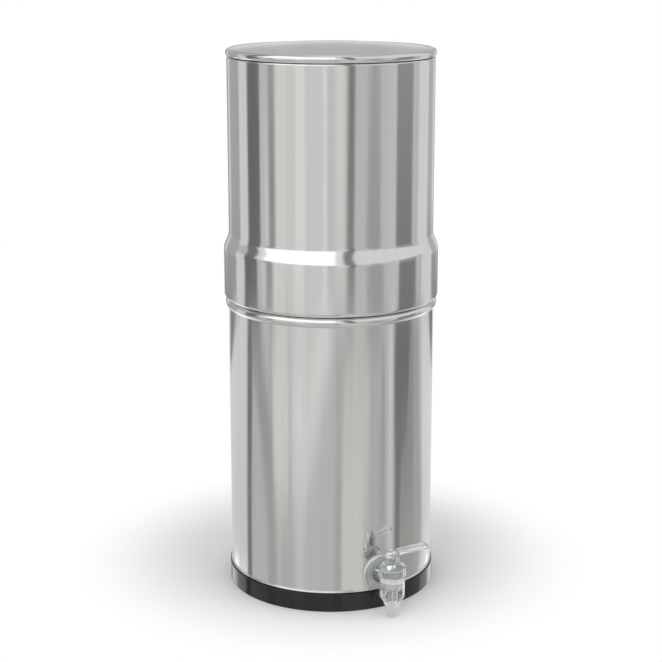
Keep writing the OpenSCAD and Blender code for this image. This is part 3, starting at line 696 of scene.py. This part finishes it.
def makeBarrel(s):
    core, low, taperZ, taperLow = s["nozzleCore"], s["nozzleZ"], s["taperZ"], s["taperLow"]
    rise, spread = s["octagonZ"] - taperZ, s["taperHigh"] - taperLow
    path = [(0, low), (core - 0.5, low), (core - 0.1, low + 0.25)]
    path += [(core, low + 0.5 + 0.5 * i) for i in range(14)]
    path += [(core, taperZ - 0.25), (taperLow - 0.2, taperZ + 0.02), (taperLow + 0.1, taperZ + 0.35)]
    path += [(taperLow + spread * t, taperZ + rise * t) for t in np.linspace(0.1, 0.95, 10)]
    # rows lie closer where the octagon's corners are cut
    start, top = s["octagonZ"], s["octagonTop"]
    for low, high, rows in ((start, start + 5.4, 22), (start + 6.4, top - 6, 6), (top - 5, top, 20)):
        path += [(s["flat"], z) for z in np.linspace(low, high, rows)]
    band, bandTop, neck, neckTop = s["band"], s["bandTop"], s["neck"], s["neckTop"]
    path += [
        (band, top + 0.1), (band, top + 0.4), (band, bandTop - 0.5), (band - 0.12, bandTop - 0.15),
        (band - 0.4, bandTop), (neck + 0.1, bandTop), (neck, bandTop + 0.1),
    ]
    for turn in range(s["neckTurns"]):
        z, root = bandTop + 0.6 + turn * s["neckPitch"], neck - s["neckThread"]
        path += [(neck, z), (root, z + 0.35), (root, z + 0.55), (neck, z + 0.9)]
    path += [(neck, neckTop - 0.1), (neck - 0.2, neckTop), (0, neckTop)]
    return turned("barrel", path, False, 336, tapAxis, 28, barrelShape(s))


def makeShank(s):
    shank, thick, arm, root = s["shank"], s["flangeThick"], s["arm"], s["armRoot"]
    rimR, face = s["flange"] - s["flangeRim"], thick - s["flangeDish"]
    armEnd = s["flangeY"] - s["axisY"] - s["chamber"] + 1
    flareEnd = thick + s["armFlare"]
    threadStart = s["shankChamfer"] - s["shankEnd"]
    path = [(0, -s["shankEnd"]), (shank - s["shankChamfer"], -s["shankEnd"]), (shank, threadStart)]
    for z in np.arange(threadStart + 1, -5, s["shankPitch"]):
        groove = shank - s["shankThread"]
        path += [(shank, z), (groove, z + 0.6), (groove, z + 0.8), (shank, z + 1.4)]
    path += [(shank, 0), (s["flange"] - 0.3, 0), (s["flange"], 0.3)]
    path += arcPoints(rimR, thick - s["flangeRim"], s["flangeRim"], 0, 160, 16)
    path += [
        (rimR - 1.8, face), (root + 1.2, face), (root, face + 0.7), (root - 0.5, thick + 0.2),
        (arm + 0.5, flareEnd - 0.5), (arm, flareEnd + 0.5), (arm, armEnd), (0, armEnd),
    ]
    smooth = shapePath(path, False, soft=0.25, error=0.003, guard=0.2)
    return alongShank(turned("shank", smooth, False, 128), s["flangeY"], s["shankZ"])


def makeTapBody(s):
    outlet, seat, chamber, ease, lip = s["outlet"], s["seat"], s["chamber"], s["ease"], s["seatLip"]
    low, seatZ, top = s["nozzleZ"], s["seatZ"], s["neckTop"]
    valve = [
        (0, low - 1), (outlet + ease, low - 1), (outlet + ease, low), (outlet, low + ease),
        (outlet, seatZ - lip), (outlet + lip, seatZ), (seat - ease, seatZ), (seat, seatZ - ease),
        (seat, s["chamberZ"]), (chamber, s["chamberZ"]), (chamber, top - ease), (chamber + ease, top),
        (chamber + ease, top + 1), (0, top + 1),
    ]
    valveCut = turned("valveCut", valve, False, 96, tapAxis)
    length = s["flangeY"] - s["axisY"] + s["shankEnd"]
    boreCut = turned("boreCut", sideBox(0, s["bore"], -1, length), False, 64)
    alongShank(boreCut, s["flangeY"] + s["shankEnd"], s["shankZ"])
    outside = makeBarrel(s)
    steps = [("UNION", makeShank(s)), ("DIFFERENCE", valveCut), ("DIFFERENCE", boreCut)]
    return carve(outside, steps, 28)


barrel = placePiece("tapBarrel", makeTapBody(tapBody), barrelPlastic, "base", ["tap_body"])


def frostEnds(piece, s):
    # the nozzle with its taper and the band under the neck are frosted, the octagon between is clear
    piece.data.materials.append(frostedPlastic)
    for face in piece.data.polygons:
        middle = face.center / mm
        reach = math.hypot(middle.x, middle.y - s["axisY"])
        nozzle = middle.z < s["frostLow"] and s["outlet"] + 0.4 < reach < s["corner"]
        band = s["frostHigh"] < middle.z < s["bandTop"] + 0.1 and s["neck"] - 0.6 < reach < s["corner"] + 0.1
        if nozzle or band:
            face.material_index = 1


frostEnds(barrel, tapBody)
print("tap body made")


# Bonnet, swivel collar and seat cup

bonnetShape = {
    "outer": 13.8, "z": 44.75, "sideTop": 54.75, "round": 1.6,
    "shoulderTop": 57.45, "shoulder": 8.8, "spigot": 5.2, "spigotTop": 63.25,
    "inner": 10.85, "ceiling": 52.2, "stemHole": 3.06,
}


def makeBonnet(s):
    edge = s["outer"] - s["round"]
    path = [(s["inner"], s["z"]), (s["outer"], s["z"])]
    path += arcPoints(edge, s["sideTop"] - s["round"], s["round"], 0, 80, 10)
    path += [
        (s["shoulder"], s["shoulderTop"]), (s["spigot"], s["shoulderTop"]), (s["spigot"], s["spigotTop"]),
        (s["stemHole"], s["spigotTop"]), (s["stemHole"], s["ceiling"]), (s["inner"], s["ceiling"]),
    ]
    smooth = shapePath(path, soft=0.35, error=0.003, guard=0.2)
    return turned("bonnetMesh", smooth, True, 160, tapAxis)


placePiece("tapBonnet", makeBonnet(bonnetShape), clearPlastic, "base", ["tap_bonnet"])

swivelShape = {
    "outer": 7.3, "z": 58.25, "top": 64.3, "bore": 5.26, "roof": 63.3, "stemHole": 3.06,
    "flutes": 20, "flute": 0.57, "fluteShare": 0.6, "skin": 0.9,
}


def makeSwivel(s):
    def radius(turn, r, z):
        if r < s["outer"] - s["skin"]:
            return r
        gap = 2 * math.pi / s["flutes"]
        near = abs((turn + gap / 2) % gap - gap / 2) * s["outer"]
        return r - math.sqrt(max(0, s["flute"] ** 2 - near ** 2)) * s["fluteShare"]

    path = [(s["bore"], s["z"]), (s["outer"], s["z"]), (s["outer"], s["top"]), (s["stemHole"], s["top"]),
            (s["stemHole"], s["roof"]), (s["bore"], s["roof"])]
    smooth = shapePath(path, soft=0.3, error=0.003, guard=0.15)
    return turned("swivelMesh", smooth, True, 240, tapAxis, 40, radius)


placePiece("leverCollar", makeSwivel(swivelShape), clearPlastic, "swivel", ["swivel_collar"])

seatCup = {
    "bottom": 31.55, "end": 6.7, "endHigh": 5.0, "tube": 5.5,
    # folds let the cup shorten
    "folds": 3, "foldDeep": 0.5,
    "rimZ": 50.65, "rimTop": 52.15, "rim": 10.8, "stemHole": 3.05,
    "foot": 4.85, "footLow": 33.15, "footHigh": 35.05, "keep": 0.834,
}


def makeSeatCup(s):
    tube, valley = s["tube"], s["tube"] - s["foldDeep"]
    path = [(0, s["bottom"]), (s["end"], s["bottom"]), (s["end"], s["bottom"] + s["endHigh"])]
    low = s["bottom"] + s["endHigh"] + 0.6
    pitch = (s["rimZ"] - low - 1.0) / s["folds"]
    for z in low + pitch * np.arange(s["folds"]):
        path += [(valley, z), (tube, z + pitch * 0.35), (tube, z + pitch * 0.65), (valley, z + pitch)]
    path += [
        (tube, s["rimZ"]), (s["rim"], s["rimZ"]), (s["rim"], s["rimTop"]),
        (s["stemHole"], s["rimTop"]), (s["stemHole"], s["footHigh"]),
        (s["foot"], s["footHigh"]), (s["foot"], s["footLow"]), (0, s["footLow"]),
    ]
    return turned("cupMesh", shapePath(path, False, guard=0.3), False, 96, tapAxis, 50)


cup = placePiece("seatBellows", makeSeatCup(seatCup), whiteSilicone, "base", ["seat_cup"])
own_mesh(cup)


# Lever: domed hub, curved arm with grip ridges, slot for the stem's tongue and the pin's hole

leverShape = {
    "hubZ": 64.45, "hub": 7.5, "sideHigh": 3.6, "domeHigh": 3.4,
    "pinZ": 67.05, "pinHole": 1.06, "pinReach": 9.0,
    "length": 41.0, "thick": 4.6, "lift": 0.75, "rise": 1.2,
    "rootHalf": 4.3, "tipHalf": 5.5, "tipThin": 0.55, "square": 0.42,
    "ridges": 8, "ridgeStart": 12.0, "ridgePitch": 3.0, "ridge": 0.6, "ridgeMargin": 0.9,
    "slotHalf": 3.12, "slotWide": 5.12, "slotDeep": 6.8, "tilt": 28.0,
}


def makeArm(s):
    tip, neckX = s["tipHalf"], s["length"] - s["tipHalf"]
    stations = [*np.arange(0, neckX, 0.2), *(neckX + tip * np.sin(np.linspace(0, math.pi / 2, 30)))]
    around, high = 48, s["thick"] / 2
    ridges = s["ridgeStart"] + s["ridgePitch"] * np.arange(s["ridges"])
    verts = []
    for x in stations:
        share = x / s["length"]
        half = s["rootHalf"] + (tip - s["rootHalf"]) * share
        middle = s["hubZ"] + s["lift"] + s["rise"] * (1 - math.cos(math.pi * share)) / 2 + high
        tall = high
        if x > neckX:
            half *= math.sqrt(max(tip ** 2 - (x - neckX) ** 2, 0)) / tip
            tall *= 1 - s["tipThin"] * ((x - neckX) / tip) ** 4
        half = max(half, 0.02)
        ridge = math.sqrt(max(s["ridge"] ** 2 - np.abs(ridges - x).min() ** 2, 0))
        for turn in np.arange(around) * (2 * math.pi / around):
            c, n = math.cos(turn), math.sin(turn)
            y = half * math.copysign(abs(c) ** s["square"], c)
            z = tall * math.copysign(abs(n) ** s["square"], n)
            if n > 0.5 and abs(y) < half - s["ridgeMargin"]:
                z += ridge * min(1, (half - s["ridgeMargin"] - abs(y)) / 0.4)
            verts.append((x, y, middle + z))
    faces = gridFaces(len(stations), around)
    faces += [list(range(around))[::-1], list(range(len(verts) - around, len(verts)))]
    return makeMesh("arm", verts, faces, tapAxis, 40)


def makeLever(s):
    path = [(0, s["hubZ"]), (s["hub"], s["hubZ"])]
    path += capArc(s["hub"], s["domeHigh"], s["hubZ"] + s["sideHigh"] + s["domeHigh"], 24)
    hub = turned("hub", shapePath(path, False, soft=0.5, error=0.003, guard=0.2), False, 128, tapAxis)
    half, deep, tilt = s["slotHalf"], s["slotDeep"], math.radians(s["tilt"])
    sine, cosine = math.sin(tilt), math.cos(tilt)
    outline = [(-half, -deep)] + arcPoints(0, 0, half, 180, s["tilt"], 20)
    outline += [(half * cosine + deep * sine, half * sine - deep * cosine)]
    count = len(outline)
    verts = [(x, side * s["slotWide"] / 2, z) for side in (-1, 1) for x, z in outline]
    faces = [list(range(count)), list(range(count, 2 * count))[::-1]] + gridFaces(2, count)
    slot = makeMesh("slot", verts, faces, (0, tapBody["axisY"], s["pinZ"]))
    hole = turned("pinHole", sideBox(0, s["pinHole"], -s["pinReach"], s["pinReach"]), False, 32)
    alongShank(hole, tapBody["axisY"], s["pinZ"])
    return carve(hub, [("UNION", makeArm(s)), ("DIFFERENCE", slot), ("DIFFERENCE", hole)], 40)


placePiece("tapLever", makeLever(leverShape), clearPlastic, "lever", ["tap_lever"])
print("tap's moving pieces made")


# Candles: ceramic columns in cups with threaded stems

candleShape = {
    "radius": 25.0, "wall": 7.0, "z": 378.811, "high": 130.0,
    "cup": 27.0, "cupZ": 376.361, "cupHigh": 12.0, "cupFloor": 2.4, "cupInner": 25.05,
    # the cup's sloped foot, in and up, and the grips round its side
    "cupFoot": (0.6, 1.5), "grips": 48, "gripDeep": 0.25, "gripMargin": 2.2,
    "stem": 6.0, "stemHigh": 27.0, "bore": 3.0, "reach": 51.975,
}


def makeCandleShell(s):
    r, inner, domeZ = s["radius"], s["radius"] - s["wall"], s["z"] + s["high"] - s["radius"]
    path = [(r, s["z"])] + arcPoints(0, domeZ, r, 0, 90, 40) + arcPoints(0, domeZ, inner, 90, 0, 30)
    return latheFaces(shapePath(path + [(inner, s["z"])], False, soft=0.5), False, 128)


threadShape = {"pitch": 1.75, "deep": 0.7, "plain": 5.0, "tip": 0.8}


def threadPath(s, r, low, head):
    # the outer line of a threaded stem, from the plain stretch under its head to its sloped tip
    pitch, root, z = s["pitch"], r - s["deep"], head - s["plain"]
    path = []
    while z - pitch > low + s["tip"]:
        path += [(r, z), (r, z - 0.25 * pitch), (root, z - 0.5 * pitch), (root, z - 0.65 * pitch)]
        z -= pitch
    return path + [(r, z), (r - s["tip"], low)]


def makeCandleBase(s):
    cup, inner, z = s["cup"], s["cupInner"], s["cupZ"]
    top, floor, low = z + s["cupHigh"], z + s["cupFloor"], z - s["stemHigh"]
    slopeIn, slopeUp = s["cupFoot"]
    path = [(cup - slopeIn, z), (cup, z + slopeUp)]
    path += [(cup, top), (inner, top), (inner, floor), (s["bore"], floor), (s["bore"], low)]
    path += threadPath(threadShape, s["stem"], low, z)[::-1] + [(s["stem"], z)]

    def grips(turn, r, up):
        if r < cup - 0.05 or not z + s["gripMargin"] < up < top - s["gripMargin"]:
            return r
        return r - s["gripDeep"] * (0.5 + 0.5 * math.cos(turn * s["grips"]))

    line = shapePath(path, soft=0.35, guard=0.3)
    dense = []
    for (r0, z0), (r1, z1) in zip(line, line[1:] + line[:1]):
        dense.append((r0, z0))
        if abs(z1 - z0) > 4 and r0 > cup - 0.1:
            # more rows where the grips begin and end
            dense += [(r0, z0 + (z1 - z0) * t) for t in (0.12, 0.16, 0.84, 0.88)]
    return latheFaces(dense, True, 192, grips)


sealShape = {"inner": 6.05, "z": 373.311, "thick": 3.0, "candle": 13.0, "plug": 12.0}


def makeSeal(s, outer):
    path = sideBox(s["inner"], outer, s["z"], s["z"] + s["thick"])
    return latheFaces(shapePath(path, soft=0.7, guard=0.3), True, 96)


plugShape = {"head": 12.0, "high": 6.0, "crown": 3.0, "stem": 6.0, "stemHigh": 27.0, "z": 376.361}


def makePlug(s):
    low = s["z"] - s["stemHigh"]
    path = capArc(s["head"], s["crown"], s["z"] + s["high"], 14)[::-1]
    path += [(s["head"], s["z"]), (s["stem"], s["z"])]
    path += threadPath(threadShape, s["stem"], low, s["z"]) + [(0, low)]
    return latheFaces(shapePath(path, False, soft=0.35, guard=0.3), False, 96)


aroundParts = {
    ("left", "right"): [
        ("candle", makeCandleShell(candleShape), candleCeramic, "ceramic", "candle_shell"),
        ("candleCup", makeCandleBase(candleShape), whitePlastic, "white_plastic", "candle_base"),
        ("candleSeal", makeSeal(sealShape, sealShape["candle"]), whiteSilicone, "white_silicone",
         "candle_seal"),
    ],
    ("front", "back"): [
        ("plug", makePlug(plugShape), whitePlastic, "white_plastic", "blanking_plug"),
        ("plugSeal", makeSeal(sealShape, sealShape["plug"]), whiteSilicone, "white_silicone", "plug_seal"),
    ],
}


def placeAround(parts, reach):
    places = {"left": (-reach, 0, 0), "right": (reach, 0, 0), "front": (0, -reach, 0), "back": (0, reach, 0)}
    for sides, rows in parts.items():
        for side in sides:
            for name, (verts, faces), material, slot, node in rows:
                mesh = makeMesh(f"{name}_{side}Mesh", verts, faces, places[side])
                placePiece(f"{name}_{side}", mesh, material, "upper_chamber", [f"{node}_{side}"])


placeAround(aroundParts, candleShape["reach"])
print("candles and plugs made")


# CAD pieces that keep their own shape, with eased edges

keptNodes = {
    "tap_outer_washer": (whiteSilicone, 0.4), "tap_inner_washer": (whiteSilicone, 0.4),
    "tap_shank_nut": (whitePlastic, 0.5), "tap_stem": (whitePlastic, 0.15), "lever_pin": (pinSteel, 0.15),
    "candle_core_left": (pressedCarbon, 0.5), "candle_core_right": (pressedCarbon, 0.5),
    "candle_wing_nut_left": (whitePlastic, 0.6), "candle_wing_nut_right": (whitePlastic, 0.6),
    "plug_wing_nut_front": (whitePlastic, 0.6), "plug_wing_nut_back": (whitePlastic, 0.6),
}


def easeEdges(piece, material, width):
    piece.data.materials.clear()
    piece.data.materials.append(material)
    weld = piece.modifiers.new("weld", "WELD")
    weld.merge_threshold = 0.002 * mm
    bevel = piece.modifiers.new("easedEdges", "BEVEL")
    bevel.width = width * mm
    bevel.segments = 3
    bevel.limit_method = "ANGLE"
    bevel.angle_limit = math.radians(40)
    bevel.harden_normals = False


for node, (material, width) in keptNodes.items():
    easeEdges(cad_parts[node], material, width)
print("small pieces dressed")


# Studio: white world, soft lamps, a ring of cards that only reflections see, and a floor that is white away
# from the base with a painted shadow halo round it

studio = {
    "wallRadius": 2.6, "ambient": 0.62,
    # the floor's painted shadow halo fades to white between these distances from its middle, which lies
    # behind the base, and floorGain is the paper's tone for the camera inside the halo
    "floorWhite": (0.13, 0.285), "floorMiddle": (0.025, 0.049, 0.0),
    "floorGain": 0.85, "floorShade": 0.8, "floorReach": 7.0, "lampTarget": (0.0, 0.0, 0.25),
    # levels between the cards, and the height where the low cards begin
    "base": 0.70, "lowBase": 0.55, "highBase": 0.55, "split": -0.29,
    # start and depth of the blend to the high cards, and to the glow that only the base ring sees
    "highBand": (0.7, 0.25), "ringBand": (-1.0, 0.04),
    "ringMiddle": 3.5, "ringGlow": [(116, 0.9), (136.75, 1.5), (154.75, 0.6)],
    "streaks": 0.03, "wallSides": 720,
    "lowerHeights": (-2.4, -1.2, 0.4), "fineHeights": (-1.16, 0.04), "above": [0.0, 0.7, 0.95, 1.6, 2.6, 3.6],
    # radius, height and level of the rings that close the wall below and above
    "under": [(0.02, -3.3, 0.66), (0.8, -3.2, 0.64), (1.7, -2.9, 0.60)],
    "ceiling": [(2.2, 3.9, 0.60), (1.5, 4.2, 0.56), (1.2, 4.25, 0.58), (0.8, 4.3, 0.92), (0.02, 4.35, 0.95)],
}

neutral, cool, warm = (1, 1, 1), (0.982, 1, 0.993), (1, 0.98, 0.955)

# a card has a tint and a softness, then height, from, to and level at each bend of its edges
# directions are in degrees from the camera, plus to its right, and later cards lie over earlier ones
upperCards = {
    "rearLeft": (neutral, 4, (0.0, -168, -156, 0.38), (-0.12, -181, -134, 0.28)),
    "leftReveal": (neutral, 4, (0.0, -147, -119, 0.44), (-0.14, -150, -119, 0.33)),
    "leftWindow": (cool, 2, (0.0, -119, -103, 0.75)),
    "leftFlag": (cool, 3, (0.0, -103, -83, 0.17)),
    "leftStrip": (cool, 2, (0.0, -82, -76, 0.62)),
    "leftPost": (warm, 4, (0.3, -76, -63, 0.42), (0.0, -71, -63, 0.33)),
    "softLeft": (warm, 4, (0.0, -61, -49, 0.78)),
    "softMiddle": (warm, 3, (0.0, -39, -28, 0.84)),
    "narrowStrip": (neutral, 2, (0.0, -9, -4, 0.82)),
    "middleReveal": (neutral, 2, (0.0, -4, 5, 0.63)),
    "rightStrip": (warm, 3, (0.3, 5, 14, 0.82), (-0.16, 4, 11, 0.72)),
    "stand": (neutral, 5, (0.3, 18.5, 27, 0.20), (-0.16, 16, 25, 0.28)),
    "rightWall": (cool, 2, (0.0, 26.5, 68, 0.59)),
    "rightWallShade": (cool, 3, (0.3, 44, 51, 0.46), (-0.16, 37, 57, 0.37)),
    "rightWallStrip": (cool, 2, (0.3, 65, 74, 0.63), (-0.16, 60, 73, 0.62)),
    "rightFlag": (cool, 3, (0.3, 75, 101, 0.38), (0.0, 75, 100, 0.26), (-0.16, 75, 102, 0.22)),
    "rightStep": (cool, 3, (0.0, 101, 111, 0.58)),
    "rightWindow": (cool, 3, (0.0, 111, 133, 0.76)),
    "farRight": (warm, 3, (0.0, 134, 150, 0.50), (-0.12, 134, 181, 0.28)),
    "rearRight": (neutral, 4, (0.0, 163, 173, 0.40), (-0.14, 163, 173, 0.24)),
}
# high cards, seen by the sloping flare and the rims
highCards = {
    "highLeft": (neutral, 3, (1.0, -150, -121, 0.45)),
    "highFlag": (neutral, 4, (1.0, -104, -88, 0.20)),
    "skylight": (neutral, 6, (1.0, -87, 13, 0.85)),
    "skylightMiddle": (neutral, 5, (1.0, -77, 5, 1.35)),
    "highStand": (neutral, 4, (1.0, 15, 26, 0.25)),
    "highRight": (cool, 4, (1.0, 26, 128, 0.80)),
    "highRear": (neutral, 8, (1.0, 132, 181, 0.50)),
    "highRearLeft": (neutral, 8, (1.0, -181, -150, 0.50)),
}
lowCards = {
    "lowLeftGlow": (cool, 3, (-0.32, -181, -106, 0.76), (-0.87, -181, -111, 0.69)),
    "lowLeftSliver": (neutral, 4, (-0.32, -153, -130, 0.22), (-0.44, -160, -148, 0.30),
     (-0.50, -160, -160, 0.6)),
    "lowLeftFlag": (cool, 2, (-0.32, -105, -96, 0.20), (-0.87, -110, -102, 0.21)),
    "lowLeftShade": (neutral, 5, (-0.32, -99, -83, 0.35), (-0.45, -96, -79, 0.38), (-0.59, -87, -69, 0.37),
     (-0.73, -80, -67, 0.39), (-0.87, -76, -64, 0.43)),
    "wedge": (warm, 3, (-0.32, -67, 5, 0.68), (-0.45, -67, -3, 0.76), (-0.59, -67, -13, 0.77),
     (-0.73, -67, -24, 0.75), (-0.80, -63, -28, 0.66), (-0.87, -58, -31, 0.53), (-1.0, -58, -31, 0.50)),
    "wedgeEdge": (neutral, 3, (-0.32, -13, 2, 0.80), (-0.45, -20, -8, 0.80), (-0.59, -26, -17, 0.80),
     (-0.73, -36, -27, 0.78), (-0.87, -40, -31, 0.60)),
    "wedgeStreak": (neutral, 3, (-0.32, -41, -32, 0.68), (-0.59, -41, -32, 0.84), (-0.87, -41, -32, 0.62)),
    "wedgeShade": (neutral, 2, (-0.32, -48, -43, 0.57), (-0.59, -48, -43, 0.63), (-0.87, -49, -43, 0.50)),
    "middleShade": (neutral, 3, (-0.32, 6, 19, 0.48), (-0.45, 6, 14, 0.50), (-0.87, 4, 12, 0.46)),
    "warmPanel": (warm, 2, (-0.32, 20, 39, 0.58), (-0.45, 15, 41, 0.62), (-0.59, 13, 44, 0.68),
     (-0.87, 12, 36, 0.68)),
    "rightDip": (neutral, 4, (-0.32, 39, 57, 0.44), (-0.45, 44, 57, 0.52), (-0.87, 42, 57, 0.50)),
    "thinDark": (neutral, 2, (-0.32, 57, 61, 0.48), (-0.45, 57, 61, 0.38), (-0.87, 54, 64, 0.44)),
    "thinBright": (neutral, 1.5, (-0.32, 66, 71, 0.72), (-0.87, 67, 72, 0.66)),
    "lowRightFlag": (warm, 3, (-0.32, 73, 98, 0.19), (-0.45, 74, 98, 0.20), (-0.59, 74, 95, 0.22),
     (-0.73, 76, 85, 0.22), (-0.87, 76, 84, 0.22)),
    "lowRightShade": (warm, 3, (-0.32, 98, 104, 0.33), (-0.59, 95, 106, 0.34), (-0.73, 85, 106, 0.33),
     (-0.87, 84, 108, 0.40)),
    "lowRightStep": (neutral, 3, (-0.32, 104, 114, 0.40), (-0.59, 106, 117, 0.44), (-0.87, 108, 124, 0.43)),
    "lowRightGlow": (cool, 5, (-0.32, 119, 181, 0.74), (-0.59, 122, 181, 0.79), (-0.87, 129, 181, 0.74)),
    "lowRightSliver": (neutral, 3, (-0.32, 141, 158, 0.18), (-0.40, 147, 160, 0.26), (-0.50, 160, 160, 0.5)),
    "lowRearShade": (neutral, 6, (-0.32, 167, 176, 0.50), (-0.87, 169, 174, 0.55)),
}


def cover(direction, start, end, soft):
    # how much of a soft-edged card lies at this direction
    rise = min(max((direction - start) / soft + 0.5, 0), 1)
    fall = min(max((end - direction) / soft + 0.5, 0), 1)
    share = min(rise, fall) if end > start + 0.5 else 0
    return share * share * (3 - 2 * share)


def bendAt(rows, z):
    # from, to and level of a card's edges at this height
    if z >= rows[0][0]:
        return rows[0][1:]
    for above, below in zip(rows[:-1], rows[1:]):
        if z >= below[0]:
            share = (above[0] - z) / (above[0] - below[0])
            return [a + (b - a) * share for a, b in zip(above[1:], below[1:])]
    return rows[-1][1:]


def paintCards(cards, direction, z, base):
    light = np.full(3, base)
    for tint, soft, *rows in cards.values():
        start, end, level = bendAt(rows, z)
        share = cover(direction, start, end, soft)
        light = light * (1 - share) + level * np.array(tint) * share
    return light


def cardLight(direction, z, s):
    # the card's light with a faint unevenness round the wall
    streak = math.sin(direction * 0.62 + 0.8) * math.sin(direction * 0.19)
    streak += 0.7 * math.sin(direction * 1.7 + 0.4)
    if z < s["split"]:
        light = paintCards(lowCards, direction, z, s["lowBase"])
        glow = [level for start, level in s["ringGlow"] if abs(direction - s["ringMiddle"]) > start]
        if glow:
            start, deep = s["ringBand"]
            share = min(max((start - z) / deep, 0), 1)
            light = light * (1 - share) + glow[-1] * share
    else:
        start, deep = s["highBand"]
        share = min(max((z - start) / deep, 0), 1)
        light = paintCards(upperCards, direction, z, s["base"]) * (1 - share)
        light = light + paintCards(highCards, direction, z, s["highBase"]) * share
    return light * (1 + s["streaks"] * streak)


def makeWall(s):
    split = s["split"]
    start, step = s["fineHeights"]
    heights = [*np.arange(*s["lowerHeights"]), *np.arange(start, split - 0.01, step), split - 0.001, split]
    rings = s["under"] + [(s["wallRadius"], z, None) for z in heights + s["above"]] + s["ceiling"]
    count = s["wallSides"]
    verts, lights = [], []
    for radius, z, level in rings:
        for i in range(count):
            direction = 360 * i / count - 180
            turn = math.radians(direction + cameraSet["azimuth"])
            verts.append((radius * math.sin(turn), -radius * math.cos(turn), z))
            lights += [*(cardLight(direction, z, s) if level is None else [level] * 3), 1.0]
    mesh = bpy.data.meshes.new("cardWall")
    mesh.from_pydata(verts, [], gridFaces(len(rings), count))
    mesh.color_attributes.new("light", "FLOAT_COLOR", "POINT").data.foreach_set("color", lights)
    wall = addObject("cardWall", mesh)
    material = bpy.data.materials.new("cardLight")
    tree = newTree(material)
    colour = addNode(tree, "VertexColor", layer_name="light").outputs["Color"]
    glow = addNode(tree, "Emission", {"Color": colour, "Strength": 1.0})
    addNode(tree, "OutputMaterial", {"Surface": glow.outputs[0]})
    mesh.materials.append(material)
    for kind in ("camera", "diffuse", "transmission", "volume_scatter", "shadow"):
        setattr(wall, "visible_" + kind, False)


makeWall(studio)


def makeFloorPlane(s):
    reach = s["floorReach"]
    corners = [(-reach, -reach, 0), (reach, -reach, 0), (reach, reach, 0), (-reach, reach, 0)]
    mesh = bpy.data.meshes.new("studioFloor")
    mesh.from_pydata(corners, [], [(0, 1, 2, 3)])
    floor = addObject("studioFloor", mesh)
    material = bpy.data.materials.new("floorPaper")
    tree = newTree(material)
    seen = addNode(tree, "LightPath").outputs["Is Camera Ray"]
    shade, gain = [(level, level, level, 1) for level in (s["floorShade"], s["floorGain"])]
    paper = addNode(tree, "BsdfDiffuse", {"Color": mixColours(tree, seen, shade, gain)})
    # painted shadow halo: near the base the camera sees the lit paper at a tone below white, round the real
    # shadow, and further out plain white
    away = addNode(tree, "VectorMath", {0: objectPlace(tree), 1: s["floorMiddle"]}, operation="DISTANCE")
    start, end = s["floorWhite"]
    fade = addNode(tree, "MapRange", {
        "Value": away.outputs["Value"], "From Min": start, "From Max": end,
    }, interpolation_type="SMOOTHSTEP")
    share = mathNode(tree, "MULTIPLY", fade.outputs["Result"], seen)
    white = addNode(tree, "Emission", {"Color": (1, 1, 1, 1), "Strength": 1.0})
    blend = addNode(tree, "MixShader", {0: share, 1: paper.outputs[0], 2: white.outputs[0]})
    # seen from below the floor is clear, so that the underside shows
    behind = addNode(tree, "NewGeometry").outputs["Backfacing"]
    clear = addNode(tree, "BsdfTransparent")
    through = addNode(tree, "MixShader", {0: behind, 1: blend.outputs[0], 2: clear.outputs[0]})
    addNode(tree, "OutputMaterial", {"Surface": through.outputs[0]})
    mesh.materials.append(material)
    floor.visible_glossy = False


makeFloorPlane(studio)


def makeWorld(s):
    scene.world = bpy.data.worlds.new("studioWorld")
    tree = newTree(scene.world)
    path = addNode(tree, "LightPath").outputs
    seen = mathNode(tree, "MAXIMUM", path["Is Camera Ray"], path["Is Glossy Ray"])
    seen = mathNode(tree, "MAXIMUM", seen, path["Is Transmission Ray"])
    strength = rangeNode(tree, seen, 0.0, 1.0, s["ambient"])
    glow = addNode(tree, "Background", {"Color": (1, 1, 1, 1), "Strength": strength})
    addNode(tree, "OutputWorld", {"Surface": glow.outputs[0]})


makeWorld(studio)

lampSet = [
    {"name": "topSoftbox", "place": (-0.3, -0.2, 2.4), "size": 1.8, "power": 16.0},
    {"name": "leftSoftbox", "place": (-1.9, -1.5, 1.5), "size": 1.2, "power": 9.0},
    {"name": "rightSoftbox", "place": (1.8, -1.4, 1.3), "size": 1.2, "power": 7.0},
]
# small bright panels that only the tap reflects, for its sparkle
sparkSet = [
    {"name": "sparkTop", "place": (-0.6, 0.15, 2.3), "size": 0.8, "power": 34.0},
    {"name": "sparkLeft", "place": (-2.0, -1.0, 1.9), "size": 0.45, "power": 12.0},
]


def makeLamp(s, sparkling=None):
    data = bpy.data.lights.new(s["name"], "AREA")
    data.shape = "SQUARE"
    data.size = s["size"]
    data.energy = s["power"]
    lamp = addObject(s["name"], data)
    lamp.location = s["place"]
    aimAt(lamp, studio["lampTarget"])
    lamp.visible_glossy = sparkling is not None
    if sparkling:
        lamp.visible_diffuse = lamp.visible_transmission = False
        lamp.light_linking.receiver_collection = sparkling


tapPieces = bpy.data.collections.new("tapPieces")
for name in ("tapBarrel", "tapBonnet", "leverCollar", "tapLever"):
    tapPieces.objects.link(bpy.data.objects[name])
for lamp in lampSet:
    makeLamp(lamp)
for lamp in sparkSet:
    makeLamp(lamp, tapPieces)
print("studio lit")
